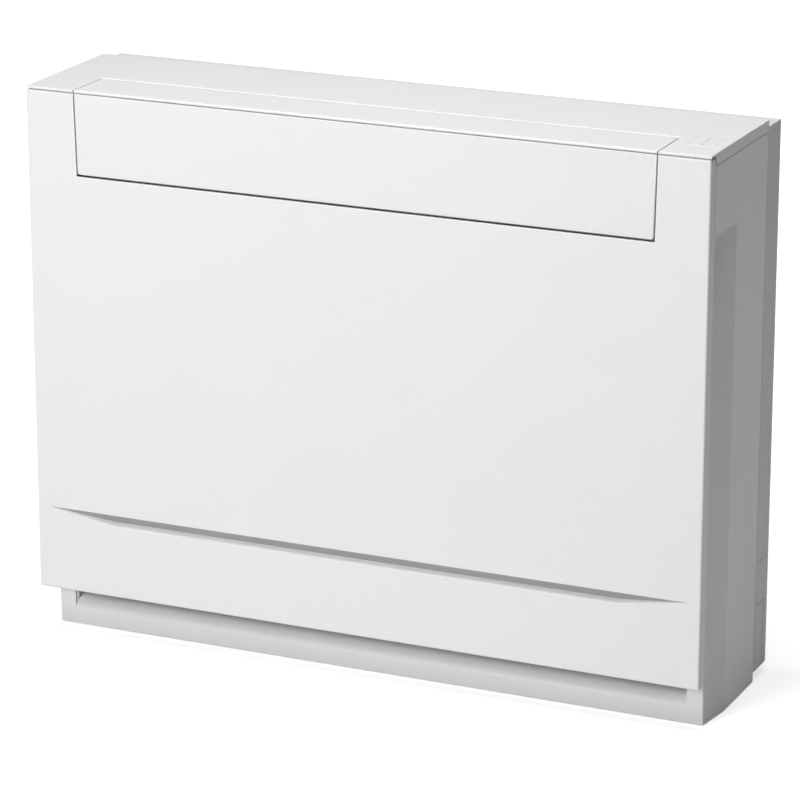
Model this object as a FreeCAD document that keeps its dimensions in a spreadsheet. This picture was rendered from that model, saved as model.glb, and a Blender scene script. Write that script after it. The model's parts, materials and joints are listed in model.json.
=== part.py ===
import FreeCAD, Part
import os
import re
import Sketcher

# A floor console air conditioner. X runs to the viewer's right, Y to the wall, Z up, and the origin is
# at the middle of the footprint on the floor. Lengths are millimetres, angles are degrees.
doc = FreeCAD.newDocument("floor_console")

SIZES = {
    # overall
    "width": 750,
    "height": 600,
    "depth": 207,
    # common walls, gaps and cuts
    "wall": 2.5,
    "seam": 1.2,
    "fit": 0.3,
    "running_fit": 0.05,
    "overrun": 5,
    # front panel
    "panel_bottom": 51,
    "panel_depth": 12,
    "panel_wall": 3,
    "panel_rim": 2.5,
    "panel_foot_depth": 8,
    "panel_gap": 2,
    "panel_corner_radius": 2,
    "panel_rib": 1.6,
    "panel_rib_depth": 2,
    "panel_rib_count": 7,
    "groove_edge": 143,
    "groove_height": 13,
    "groove_depth": 5.5,
    "groove_back_share": 0.72,
    "groove_margin": 15,
    "groove_fade": 75,
    "groove_tip": 0.2,
    "hinge_inset": 8,
    "hinge_pin_radius": 1.8,
    "hinge_lug_radius": 3.6,
    "hinge_lug_margin": 28,
    "hinge_lug_width": 7,
    "hinge_web_width": 3,
    "hinge_web_height": 14,
    "latch_margin": 28,
    "latch_drop": 37,
    "latch_width": 8,
    "latch_height": 6,
    "latch_reach": 17,
    "latch_clearance": 1,
    # front flap of the upper outlet
    "flap_drop": 89,
    "flap_margin": 56,
    "flap_taper": 2,
    "flap_depth": 8,
    "flap_wall": 2.5,
    "flap_rim": 2,
    "flap_side_gap": 1.6,
    "flap_floor_gap": 2.4,
    "flap_corner_radius": 3,
    "flap_pivot_inset": 7,
    "flap_pin_radius": 2,
    # top cover and top flap
    "top_lip": 2.5,
    "cover_plate": 2,
    "cover_skirt": 12,
    "top_flap_depth": 62,
    "top_flap_bead": 4,
    "top_flap_pin_radius": 1.6,
    "cover_rib": 3.5,
    "cover_rib_length": 16,
    # front casing
    "facet_inset": 6.4,
    "facet_depth": 46.5,
    "facet_drop": 84,
    "strip_width": 18,
    "toe_depth": 33,
    "plinth_edge": 27,
    "plinth_round": 10,
    "ramp_run": 62,
    "ramp_rise": 7,
    "lower_mouth_top": 96,
    "intake_bottom": 150,
    "intake_drop": 107,
    "lattice_bar": 4,
    "lattice_wall": 2,
    "lattice_column_count": 8,
    "lattice_row_count": 5,
    "rail_width": 2.5,
    "rail_depth": 5,
    "rail_height": 150,
    "screw_margin": 35,
    "screw_low": 120,
    "screw_drop": 64,
    "screw_head_radius": 4,
    "screw_head_height": 2,
    "screw_shank_radius": 2,
    "screw_length": 9,
    # filters
    "filter_margin": 72,
    "filter_bottom": 144,
    "filter_drop": 102,
    "filter_lap": 6,
    "filter_wall": 3.5,
    "filter_border": 7,
    "filter_bar": 3,
    "filter_column_count": 3,
    "filter_row_count": 4,
    "filter_net": 1,
    # rear chassis
    "chassis_depth": 38.5,
    "chassis_lift": 10,
    "chassis_drop": 7,
    "chassis_seam": 0.6,
    "wall_hole_radius": 3.5,
    "wall_hole_margin": 15,
    "wall_hole_low": 120,
    "wall_hole_drop": 80,
    "pipe_hole_radius": 35,
    "knockout_line": 1,
    "knockout_cut": 0.8,
    "knockout_low": 83,
    "knockout_high": 130,
    "knockout_depth": 13.5,
    "bead_width": 8,
    "bead_cut": 1,
    "bead_count": 5,
    "bead_low": 260,
    "bead_margin": 70,
    # upper outlet box
    "duct_wall": 2.5,
    "outlet_plate": 3,
    "outlet_front": 3.5,
    "outlet_step": 5,
    "outlet_floor_front": 15.5,
    "outlet_top_gap": 1,
    "guide_gap": 1.5,
    "opening_clearance": 0.5,
    # side-to-side vanes
    "vane_middle_gap": 100,
    "vane_end_gap": 59,
    "vane_group_count": 4,
    "vane_pivot_depth": 41.5,
    "vane_front": 22,
    "vane_rear": 18,
    "vane_wall": 2,
    "vane_head_gap": 21,
    "vane_lift": 7.5,
    "vane_pin_radius": 2,
    "vane_collar": 8,
    "drive_arm": 13,
    "drive_pin_radius": 1.2,
    "tie_bar_wall": 2.5,
    "tie_bar_width": 10.5,
    "tie_bar_end": 9,
    "tie_slot_slack": 0.7,
    "tie_slot_run": 2.2,
    # lower outlet
    "shutter_depth": 33.5,
    "shutter_axis": 100,
    "shutter_drop": 69,
    "shutter_wall": 2.5,
    "shutter_bead": 3.5,
    "shutter_pin_radius": 2,
    "shutter_end_gap": 3,
    "lower_guide_radius": 170,
    "lower_guide_top": 150,
    "lower_roof_front": 104,
    # fan
    "fan_offset": 50,
    "fan_radius_share": 0.396,
    "fan_disc": 2.5,
    "fan_blade_count": 7,
    "fan_blade_length": 80,
    "fan_blade_margin": 3,
    "fan_blade_sweep_angle": 40,
    "fan_blade_bow": 110,
    "fan_blade_wall": 2.5,
    "fan_shroud": 39,
    "fan_neck": 12,
    "fan_neck_gap": 9.5,
    "fan_boss_radius": 14,
    "fan_boss_height": 20,
    "fan_motor_gap": 2,
    "shaft_radius": 4,
    "shaft_inset": 5,
    "nut_across": 10,
    "nut_height": 6,
    "motor_radius": 48,
    "motor_shoulder": 6,
    "motor_length": 43,
    "bracket_radius": 60,
    "bracket_wall": 3,
    "bracket_stand": 5,
    "bracket_post": 10,
    "bracket_post_circle": 50,
    "bracket_post_count": 4,
    "bellmouth_depth": 67.5,
    "bellmouth_wall": 2.5,
    "bellmouth_bottom": 140,
    "bellmouth_margin": 23,
    "bellmouth_gap": 8,
    "bellmouth_lip": 4,
    "bellmouth_reach": 16,
    "bellmouth_round": 8,
    "scroll_wall": 3,
    "scroll_gap": 20,
    "scroll_rise": 35,
    "scroll_end_gap": 4,
    # heat exchanger
    "coil_left_margin": 45,
    "coil_right_margin": 140,
    "coil_bottom": 185,
    "coil_drop": 120,
    "coil_front": 23.5,
    "coil_depth": 36,
    "fin_count": 40,
    "fin_slot_share": 0.7,
    "fin_back": 2,
    "end_plate_wall": 2,
    "end_plate_margin": 3,
    "bend_radius": 11,
    "bend_tube_radius": 3.5,
    "bend_count": 5,
    "gas_pipe_radius": 4.76,
    "gas_pipe_level": 215,
    "gas_pipe_margin": 85,
    "liquid_pipe_radius": 3.18,
    "liquid_pipe_level": 195,
    "liquid_pipe_margin": 55,
    "pipe_depth": 41.5,
    "pipe_bend": 22,
    "pipe_end_gap": 39,
    "gas_union_across": 22,
    "gas_thread_radius": 7.94,
    "liquid_union_across": 17,
    "liquid_thread_radius": 5.56,
    "union_hex_length": 12,
    "union_thread_length": 16,
    "pan_margin": 10,
    "pan_floor": 150,
    "pan_height": 30,
    "pan_wall": 2,
    "spout_radius": 8,
    "spout_bore": 6,
    "spout_length": 20,
    "sensor_radius": 3,
    "sensor_length": 24,
    # electrical pieces
    "box_gap": 4,
    "box_margin": 15,
    "box_bottom": 235,
    "box_drop": 150,
    "box_front": 20,
    "box_wall": 2,
    "board_wall": 1.6,
    "board_margin": 6,
    "board_post": 8,
    "post_width": 5,
    "chip_height": 12,
    "chip_share": 0.6,
    "chip_count": 4,
    "terminal_width": 46,
    "terminal_height": 22,
    "terminal_depth": 16,
    "terminal_count": 4,
    "terminal_well": 6,
    "indicator_margin": 9,
    "indicator_width": 26,
    "indicator_front": 34,
    "indicator_depth": 46,
    "lamp_width": 3.6,
    "lamp_height": 2.2,
    "lamp_count": 4,
    "button_margin": 29,
    "button_drop": 126,
    "button_radius": 4,
    "button_flange_radius": 6,
    "button_flange_wall": 1.7,
    "button_proud": 2.5,
    "button_travel": 2,
    "button_gap": 0.5,
    "button_board_half": 15,
    "button_post_place": 11,
    # small motors of the flaps
    "flap_motor_radius": 9.5,
    "flap_motor_length": 12,
    "flap_motor_offset": 9,
    "flap_motor_ear": 3.5,
}

# Places worked out from the sizes above.
PLACES = {
    "half_width": "width / 2",
    "front_face": "-depth / 2",
    "rear_face": "depth / 2",
    "back_wall": "rear_face - wall",
    "panel_top": "height - top_lip - seam",
    "casing_front": "front_face + panel_depth + panel_gap",
    "casing_inside": "casing_front + wall",
    "casing_rear": "rear_face - chassis_depth",
    "cover_bottom": "height - cover_skirt",
    "hinge_along": "front_face + hinge_inset",
    "hinge_up": "panel_bottom + hinge_inset",
    "hinge_lug_place": "half_width - hinge_lug_margin",
    "latch_place": "half_width - latch_margin",
    "latch_level": "height - latch_drop",
    "flap_bottom": "height - flap_drop",
    "flap_half": "half_width - flap_margin",
    "notch_half": "flap_half + flap_side_gap",
    "notch_floor": "flap_bottom - flap_floor_gap",
    "flap_pivot_along": "front_face + flap_pivot_inset",
    "flap_pivot_up": "flap_bottom + flap_pivot_inset",
    "top_flap_rear": "front_face + top_flap_depth",
    "top_pivot_along": "top_flap_rear - top_flap_bead",
    "top_pivot_up": "height - top_flap_bead",
    "facet_top": "height - facet_drop",
    "base_half": "half_width - facet_inset",
    "mouth_half": "base_half - strip_width",
    "toe_front": "front_face + toe_depth",
    "toe_inside": "toe_front + wall",
    "toe_roof": "panel_bottom + wall",
    "facet_rear": "toe_front + facet_depth",
    "lip_foot": "plinth_edge - plinth_round",
    "ramp_rear": "casing_front + ramp_run",
    "ramp_top": "plinth_edge + ramp_rise",
    "screw_place": "half_width - screw_margin",
    "screw_high": "height - screw_drop",
    "filter_half": "half_width - filter_margin",
    "filter_top": "height - filter_drop",
    "filter_front": "casing_front - filter_wall",
    "intake_half": "filter_half - filter_lap",
    "intake_top": "height - intake_drop",
    "lattice_across": "2 * intake_half / lattice_column_count",
    "lattice_up": "(intake_top - intake_bottom) / lattice_row_count",
    "chassis_top": "height - chassis_drop",
    "wall_hole_across": "half_width - wall_hole_margin",
    "wall_hole_high": "height - wall_hole_drop",
    "bellmouth_front": "front_face + bellmouth_depth",
    "bellmouth_rear": "bellmouth_front + bellmouth_wall",
    "outlet_half": "notch_half + outlet_plate",
    "outlet_along": "front_face + outlet_front",
    "outlet_floor": "flap_bottom - outlet_step",
    "outlet_floor_top": "outlet_floor + duct_wall",
    "outlet_top": "cover_bottom - outlet_top_gap",
    "guide_radius": "back_wall - bellmouth_rear - guide_gap",
    "guide_along": "back_wall - guide_radius",
    "guide_up": "outlet_top - guide_radius",
    "cheek_top": "lower_roof_front - fit",
    "vane_pitch": "(flap_half - vane_end_gap - vane_middle_gap / 2) / (vane_group_count - 1)",
    "vane_group": "vane_middle_gap / 2 + vane_pitch * (vane_group_count - 1) / 2",
    "vane_along": "front_face + vane_pivot_depth",
    "vane_bottom": "outlet_floor_top + vane_lift",
    "vane_height": "outlet_top - vane_bottom - vane_head_gap",
    "drive_along": "vane_along + drive_arm",
    "shutter_along": "front_face + shutter_depth",
    "motor_rear": "back_wall - bracket_stand - bracket_wall",
    "motor_front": "motor_rear - motor_length",
    "shaft_end": "motor_rear - shaft_inset",
    "fan_across": "-fan_offset",
    "fan_level": "(bellmouth_bottom + outlet_floor) / 2",
    "fan_rear": "motor_front - fan_motor_gap",
    "fan_radius": "(outlet_floor - bellmouth_bottom) * fan_radius_share",
    "fan_eye": "fan_radius - fan_shroud",
    "fan_height": "fan_rear - bellmouth_rear - fan_neck - fan_neck_gap",
    "fan_blade_outer": "fan_radius - fan_blade_margin",
    "fan_blade_inner": "fan_blade_outer - fan_blade_length",
    "blade_tip_x": "fan_blade_outer * cos(fan_blade_sweep_angle)",
    "blade_tip_y": "fan_blade_outer * sin(fan_blade_sweep_angle)",
    "blade_chord": "sqrt((blade_tip_x - fan_blade_inner)^2 + blade_tip_y^2)",
    "blade_shift_x": "fan_blade_wall * blade_tip_y / blade_chord",
    "blade_shift_y": "-fan_blade_wall * (blade_tip_x - fan_blade_inner) / blade_chord",
    "bellmouth_radius": "fan_eye - bellmouth_gap",
    "scroll_half": "guide_up - fan_level - scroll_end_gap",
    "scroll_bow": "(scroll_half^2 + scroll_rise^2) / (2 * scroll_rise)",
    "scroll_reach": "fan_radius + scroll_gap + scroll_rise",
    "coil_left": "half_width - coil_left_margin",
    "coil_right": "half_width - coil_right_margin",
    "coil_top": "height - coil_drop",
    "coil_along": "front_face + coil_front",
    "coil_rear": "coil_along + coil_depth",
    "fin_pitch": "(coil_left + coil_right) / fin_count",
    "bellmouth_left": "coil_left",
    "bellmouth_right": "coil_right + bellmouth_margin",
    "gas_pipe_across": "half_width - gas_pipe_margin",
    "liquid_pipe_across": "half_width - liquid_pipe_margin",
    "pipe_along": "front_face + pipe_depth + bend_radius",
    "pipe_end": "back_wall - pipe_end_gap",
    "pan_left": "coil_left + pan_margin",
    "pan_right": "coil_right + pan_margin",
    "box_left": "bellmouth_right + box_gap",
    "box_right": "half_width - box_margin",
    "box_top": "height - box_drop",
    "box_along": "front_face + box_front",
    "box_rear": "bellmouth_front",
    "indicator_right": "half_width - indicator_margin",
    "indicator_left": "indicator_right - indicator_width",
    "button_across": "half_width - button_margin",
    "button_level": "height - button_drop",
    "button_stop": "casing_inside + fit + button_flange_wall + button_travel + button_gap",
}

sizes = doc.addObject("Spreadsheet::Sheet", "sizes")
places = doc.addObject("Spreadsheet::Sheet", "places")
WORD = re.compile(r"[a-z][a-z_]*")
PARTS = []


def full(words):
    """The expression with each size or place written as its cell."""

    def cell(match):
        name = match.group()
        if name in SIZES:
            return "sizes." + name
        if name in PLACES:
            return "places." + name
        return name

    return WORD.sub(cell, words)


def fill_sheets():
    """The driving sizes as plain numbers, then the places as formulas."""
    for row, (name, number) in enumerate(SIZES.items(), 1):
        sizes.set(f"A{row}", name)
        sizes.set(f"B{row}", str(number))
        sizes.setAlias(f"B{row}", name)
    doc.recompute()
    for row, (name, words) in enumerate(PLACES.items(), 1):
        places.set(f"A{row}", name)
        places.set(f"B{row}", "=" + full(words))
        places.setAlias(f"B{row}", name)
        doc.recompute()


def value(words):
    """What an expression comes to."""
    return float(sizes.evalExpression(full(words)))


def bind(thing, target, words):
    """Ties a property to an expression of the sheets."""
    thing.setExpression(target, full(words))


def new_part(label):
    """An empty body, which is one sub-part; a group of like pieces may be several solids."""
    part = doc.addObject("PartDesign::Body", label)
    part.Label = label
    part.AllowCompound = True
    PARTS.append(part)
    return part


def hold(drawing, kind, spot, words):
    """One dimension of a sketch, tied to an expression."""
    index = drawing.addConstraint(Sketcher.Constraint(kind, *spot, value(words)))
    bind(drawing, f"Constraints[{index}]", words)


def draw_circle(drawing, across, up, radius):
    """A circle by its middle and radius."""
    middle = FreeCAD.Vector(value(across), value(up), 0)
    normal = FreeCAD.Vector(0, 0, 1)
    edge = drawing.addGeometry(Part.Circle(middle, normal, value(radius)))
    hold(drawing, "DistanceX", (edge, 3), across)
    hold(drawing, "DistanceY", (edge, 3), up)
    hold(drawing, "Radius", (edge,), radius)


def bowed(start, stop, radius, side):
    """An arc between two points that bulges to the left (1) or right (-1) of the way along it."""
    chord = stop - start
    rise = radius - (radius**2 - (chord.Length / 2) ** 2) ** 0.5
    aside = FreeCAD.Vector(-chord.y, chord.x, 0).normalize() * rise * side
    return Part.Arc(start, (start + stop) / 2 + aside, stop)


def draw_outline(drawing, corners, closed=True):
    """Lines from corner to corner; a corner (across, up, radius, side) starts an arc instead."""
    spots = [FreeCAD.Vector(value(corner[0]), value(corner[1]), 0) for corner in corners]
    count = len(corners) if closed else len(corners) - 1
    edges = []
    for index in range(count):
        start = spots[index]
        stop = spots[(index + 1) % len(spots)]
        if len(corners[index]) == 2:
            edge = drawing.addGeometry(Part.LineSegment(start, stop))
            edges.append((edge, 1, 2))
            continue
        radius, side = corners[index][2:]
        edge = drawing.addGeometry(bowed(start, stop, value(radius), side))
        turned = (drawing.getPoint(edge, 1) - start).Length > chord_half(start, stop)
        edges.append((edge, 2, 1) if turned else (edge, 1, 2))
        hold(drawing, "Radius", (edge,), radius)
    for index in range(count if closed else count - 1):
        edge, first, last = edges[index]
        follower, follower_first, follower_last = edges[(index + 1) % count]
        drawing.addConstraint(Sketcher.Constraint("Coincident", edge, last, follower, follower_first))
    for index, corner in enumerate(corners):
        edge, first, last = edges[min(index, count - 1)]
        end = first if index < count else last
        hold(drawing, "DistanceX", (edge, end), corner[0])
        hold(drawing, "DistanceY", (edge, end), corner[1])


def chord_half(start, stop):
    """Half the straight distance between two points."""
    return (stop - start).Length / 2


def sketch(part, plane, level, outlines, closed=True):
    """A sketch on one of the part's own planes, at a level along that plane's axis."""
    support = next(item for item in part.Origin.OriginFeatures if item.Role == plane)
    drawing = part.newObject("Sketcher::SketchObject", part.Label + "_sketch")
    drawing.AttachmentSupport = [(support, "")]
    drawing.MapMode = "FlatFace"
    sign = "-" if plane == "XZ_Plane" else ""
    bind(drawing, "AttachmentOffset.Base.z", f"{sign}({level})")
    for outline in outlines:
        if isinstance(outline, tuple):
            draw_circle(drawing, *outline)
        else:
            draw_outline(drawing, outline, closed)
    return drawing


def pad(part, plane, low, high, *outlines):
    """Material between two levels along the plane's axis."""
    level = high if plane == "XZ_Plane" else low
    drawing = sketch(part, plane, level, outlines)
    feature = part.newObject("PartDesign::Pad", part.Label + "_pad")
    feature.Profile = drawing
    bind(feature, "Length", f"({high}) - ({low})")
    return feature


def pocket(part, plane, low, high, *outlines):
    """A cut between two levels along the plane's axis."""
    level = low if plane == "XZ_Plane" else high
    drawing = sketch(part, plane, level, outlines)
    feature = part.newObject("PartDesign::Pocket", part.Label + "_pocket")
    feature.Profile = drawing
    bind(feature, "Length", f"({high}) - ({low})")
    return feature


def turn(part, *outlines, angle=360):
    """Material turned round the part's own upright axis."""
    drawing = sketch(part, "XZ_Plane", "0", outlines)
    feature = part.newObject("PartDesign::Revolution", part.Label + "_turned")
    feature.Profile = drawing
    feature.ReferenceAxis = (drawing, ["V_Axis"])
    feature.Angle = angle
    return feature


def repeat_along(part, feature, axis, span, count):
    """Copies of a feature in a row."""
    pattern = part.newObject("PartDesign::LinearPattern", part.Label + "_row")
    pattern.Originals = [feature]
    line = next(item for item in part.Origin.OriginFeatures if item.Role == axis)
    pattern.Direction = (line, [""])
    bind(pattern, "Length", span)
    bind(pattern, "Occurrences", count)
    part.Tip = pattern
    return pattern


def repeat_round(part, feature, count):
    """Copies of a feature round the part's own upright axis."""
    pattern = part.newObject("PartDesign::PolarPattern", part.Label + "_ring")
    pattern.Originals = [feature]
    line = next(item for item in part.Origin.OriginFeatures if item.Role == "Z_Axis")
    pattern.Axis = (line, [""])
    pattern.Angle = 360
    bind(pattern, "Occurrences", count)
    part.Tip = pattern
    return pattern


def round_edges(part, radius, chosen):
    """A fillet on the edges of the part's last feature that the test picks."""
    doc.recompute()
    base = part.Tip
    names = [f"Edge{index}" for index, edge in enumerate(base.Shape.Edges, 1) if chosen(edge)]
    feature = part.newObject("PartDesign::Fillet", part.Label + "_round")
    feature.Base = (base, names)
    bind(feature, "Radius", radius)
    return feature


def place(part, across, along, up, axis=(0, 0, 1), angle=0):
    """Puts a part that was made round its own axis where it belongs."""
    part.Placement.Rotation = FreeCAD.Rotation(FreeCAD.Vector(*axis), angle)
    bind(part, "Placement.Base.x", across)
    bind(part, "Placement.Base.y", along)
    bind(part, "Placement.Base.z", up)


def rect(left, right, low, high):
    """A rectangle from its limits across and up."""
    return [(left, low), (right, low), (right, high), (left, high)]


def pair(left, right, low, high):
    """A rectangle on the right and its mirror image on the left."""
    return rect(left, right, low, high), rect(f"-({right})", f"-({left})", low, high)


def block(across, up, width):
    """A square by its middle and width."""
    return rect(f"{across} - {width} / 2", f"{across} + {width} / 2", f"{up} - {width} / 2", f"{up} + {width} / 2")


def hexagon(across_flats):
    """A hexagon round the origin."""
    corners = []
    for step in range(6):
        reach = f"{across_flats} / 2 / cos(30)"
        corners.append((f"{reach} * cos({60 * step})", f"{reach} * sin({60 * step})"))
    return corners


def lies_along(edge, axis):
    """Whether a straight edge runs along an axis."""
    if not isinstance(edge.Curve, Part.Line):
        return False
    return abs(getattr(edge.Curve.Direction, axis)) > 1 - Part.Precision.confusion()


def near(number, words):
    """Whether a coordinate is where the expression says."""
    return abs(number - value(words)) < value("groove_tip")


def make_front_panel():
    """Shallow tray with a notch for the flap, a scoop groove, hinge pins and latch tongues."""
    part = new_part("front_panel")
    notch_foot = "notch_half - flap_taper"
    front = [
        ("-half_width", "panel_bottom"),
        ("half_width", "panel_bottom"),
        ("half_width", "panel_top"),
        ("notch_half", "panel_top"),
        (notch_foot, "notch_floor"),
        (f"-({notch_foot})", "notch_floor"),
        ("-notch_half", "panel_top"),
        ("-half_width", "panel_top"),
    ]
    pad(part, "XZ_Plane", "front_face", "front_face + panel_depth", front)
    round_edges(
        part,
        "panel_corner_radius",
        lambda edge: lies_along(edge, "y") and near(abs(edge.CenterOfMass.x), "half_width"),
    )
    inner = "half_width - panel_rim"
    hollow = rect(f"-({inner})", inner, "panel_bottom + panel_rim", "panel_top - panel_rim")
    pocket(part, "XZ_Plane", "front_face + panel_wall", "front_face + panel_depth + overrun", hollow)
    foot = rect("-half_width - overrun", "half_width + overrun", "panel_bottom - overrun",
                "panel_bottom + panel_rim")
    pocket(part, "XZ_Plane", "front_face + panel_foot_depth", "front_face + panel_depth + overrun", foot)
    spine = rect(f"-({inner})", inner, "groove_edge - groove_height - panel_wall", "groove_edge + panel_wall")
    pad(part, "XZ_Plane", "front_face + panel_wall", "front_face + groove_depth + panel_wall", spine)
    ribs = []
    for index in range(1, int(value("panel_rib_count")) + 1):
        across = f"-half_width + width / (panel_rib_count + 1) * {index}"
        ribs.append(rect(f"{across} - panel_rib / 2", f"{across} + panel_rib / 2",
                         "groove_edge + panel_wall", "notch_floor - panel_wall"))
    pad(part, "XZ_Plane", "front_face + panel_wall", "front_face + panel_wall + panel_rib_depth", *ribs)
    scoop(part)
    web_near = "hinge_lug_place + hinge_lug_width + fit"
    web_far = f"{web_near} + hinge_web_width"
    web = pair(web_near, web_far, "panel_bottom + panel_rim", "panel_bottom + hinge_web_height")
    pad(part, "XZ_Plane", "front_face + panel_wall", "hinge_along + panel_rim", *web)
    pin = ("hinge_along", "hinge_up", "hinge_pin_radius")
    pad(part, "YZ_Plane", "hinge_lug_place", web_far, pin)
    pad(part, "YZ_Plane", f"-({web_far})", "-hinge_lug_place", pin)
    tongue = pair("latch_place - latch_width / 2", "latch_place + latch_width / 2",
                  "latch_level - latch_height / 2", "latch_level + latch_height / 2")
    pad(part, "XZ_Plane", "front_face + panel_wall", "front_face + panel_wall + latch_reach", *tongue)


def scoop(part):
    """The groove across the panel: a crisp upper edge over a shaded back and a ramp, with pointed ends."""
    end = "half_width - groove_margin"
    full_end = f"{end} - groove_fade"
    sections = []
    for across, height, deep in (
        (f"-({end})", "groove_tip", "groove_tip"),
        (f"-({full_end})", "groove_height", "groove_depth"),
        (full_end, "groove_height", "groove_depth"),
        (end, "groove_tip", "groove_tip"),
    ):
        section = [
            ("front_face - overrun", "groove_edge"),
            ("front_face", "groove_edge"),
            (f"front_face + {deep}", f"groove_edge - {height} * groove_back_share"),
            ("front_face", f"groove_edge - {height}"),
            ("front_face - overrun", f"groove_edge - {height}"),
        ]
        sections.append(sketch(part, "YZ_Plane", across, [section]))
    feature = part.newObject("PartDesign::SubtractiveLoft", part.Label + "_scoop")
    feature.Profile = sections[0]
    feature.Sections = sections[1:]
    feature.Ruled = True
    feature.Closed = False


def make_front_flap():
    """Flap of the upper outlet: a shallow tray that tilts on two pins near its lower edge."""
    part = new_part("front_flap")
    foot = "flap_half - flap_taper"
    front = [
        (f"-({foot})", "flap_bottom"),
        (foot, "flap_bottom"),
        ("flap_half", "panel_top"),
        ("-flap_half", "panel_top"),
    ]
    pad(part, "XZ_Plane", "front_face", "front_face + flap_depth", front)
    round_edges(
        part,
        "flap_corner_radius",
        lambda edge: lies_along(edge, "y") and near(edge.CenterOfMass.z, "flap_bottom"),
    )
    inner_foot = f"{foot} - flap_rim"
    inner_top = "flap_half - flap_rim"
    hollow = [
        (f"-({inner_foot})", "flap_bottom + flap_rim"),
        (inner_foot, "flap_bottom + flap_rim"),
        (inner_top, "panel_top - flap_rim"),
        (f"-({inner_top})", "panel_top - flap_rim"),
    ]
    pocket(part, "XZ_Plane", "front_face + flap_wall", "front_face + flap_depth + overrun", hollow)
    boss = pair(f"{inner_foot} - flap_pivot_inset", inner_foot, "flap_bottom + flap_rim",
                "flap_pivot_up + flap_pin_radius + flap_rim")
    pad(part, "XZ_Plane", "front_face + flap_wall", "front_face + flap_depth + flap_rim", *boss)
    pin = ("flap_pivot_along", "flap_pivot_up", "flap_pin_radius")
    pad(part, "YZ_Plane", inner_foot, "outlet_half", pin)
    pad(part, "YZ_Plane", "-outlet_half", f"-({inner_foot})", pin)


def make_top_flap():
    """Flap strip in the top cover: a plate with a front lip and a hinge bead along its rear edge."""
    part = new_part("top_flap")
    side = [
        ("front_face", "height - top_lip"),
        ("front_face + wall", "height - top_lip"),
        ("front_face + wall", "height - cover_plate"),
        ("top_pivot_along - top_flap_bead", "height - cover_plate"),
        ("top_pivot_along - top_flap_bead", "top_pivot_up", "top_flap_bead", -1),
        ("top_pivot_along", "top_pivot_up - top_flap_bead", "top_flap_bead", -1),
        ("top_flap_rear", "top_pivot_up", "top_flap_bead", -1),
        ("top_pivot_along", "height"),
        ("front_face", "height"),
    ]
    pad(part, "YZ_Plane", "-flap_half", "flap_half", side)
    pin = ("top_pivot_along", "top_pivot_up", "top_flap_pin_radius")
    pad(part, "YZ_Plane", "flap_half", "notch_half + cover_rib", pin)
    pad(part, "YZ_Plane", "-notch_half - cover_rib", "-flap_half", pin)


def make_top_cover():
    """Cover of the top: a plate with a skirt at the sides and rear, open in front for the top flap."""
    part = new_part("top_cover")
    plan = rect("-half_width", "half_width", "front_face", "casing_rear")
    pad(part, "XY_Plane", "cover_bottom", "height", plan)
    inner = "half_width - wall"
    hollow = rect(f"-({inner})", inner, "front_face - overrun", "casing_rear - wall")
    pocket(part, "XY_Plane", "cover_bottom - overrun", "height - top_lip", hollow)
    under = rect(f"-({inner})", inner, "front_face + wall", "casing_rear - wall")
    pocket(part, "XY_Plane", "height - top_lip - overrun", "height - cover_plate", under)
    nose = rect("-half_width - overrun", "half_width + overrun", "front_face - overrun", "casing_front")
    pocket(part, "XY_Plane", "cover_bottom - overrun", "height - top_lip", nose)
    notch = rect("-notch_half", "notch_half", "front_face - overrun", "top_flap_rear + seam")
    pocket(part, "XY_Plane", "cover_bottom - overrun", "height + overrun", notch)
    rib_front = "top_pivot_along - cover_rib_length / 2"
    ribs = pair("notch_half", "notch_half + cover_rib", rib_front, f"{rib_front} + cover_rib_length")
    pad(part, "XY_Plane", "cover_bottom", "height - cover_plate", *ribs)
    pin = ("top_pivot_along", "top_pivot_up", "top_flap_pin_radius + running_fit")
    pocket(part, "YZ_Plane", "-notch_half - cover_rib", "notch_half + cover_rib", pin)


def make_front_casing():
    """Side walls with their lower facets, front frame with the intake lattice, and the plinth."""
    part = new_part("front_casing")
    plan = rect("-half_width", "half_width", "casing_front", "casing_rear")
    pad(part, "XY_Plane", "0", "cover_bottom", plan)
    facet = [
        ("base_half", "toe_front"),
        ("base_half", "casing_front - overrun"),
        ("half_width + overrun", "casing_front - overrun"),
        ("half_width + overrun", "facet_rear"),
        ("half_width", "facet_rear"),
    ]
    mirrored = [(f"-({across})", along) for across, along in facet]
    pocket(part, "XY_Plane", "-overrun", "facet_top", facet, mirrored)
    inner = "half_width - wall"
    hollow = [
        ("-base_half + wall", "casing_inside"),
        ("base_half - wall", "casing_inside"),
        ("base_half - wall", "toe_front"),
        (inner, "facet_rear"),
        (inner, "casing_rear + overrun"),
        (f"-({inner})", "casing_rear + overrun"),
        (f"-({inner})", "facet_rear"),
        ("-base_half + wall", "toe_front"),
    ]
    pocket(part, "XY_Plane", "wall", "cover_bottom + overrun", hollow)
    make_plinth(part)
    mouth = rect("-mouth_half", "mouth_half", "panel_bottom - overrun", "lower_mouth_top")
    intake = rect("-intake_half", "intake_half", "intake_bottom", "intake_top")
    port_half = "outlet_half + opening_clearance"
    bay_far = "outlet_half + flap_motor_length + 2 * latch_clearance"
    bay_top = "flap_pivot_up + flap_motor_radius + latch_clearance"
    port = [
        (f"-({port_half})", "outlet_floor - wall"),
        (bay_far, "outlet_floor - wall"),
        (bay_far, bay_top),
        (port_half, bay_top),
        (port_half, "cover_bottom + overrun"),
        (f"-({port_half})", "cover_bottom + overrun"),
    ]
    pocket(part, "XZ_Plane", "casing_front - overrun", "casing_inside", mouth, intake, port)
    make_casing_fittings(part)


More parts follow.
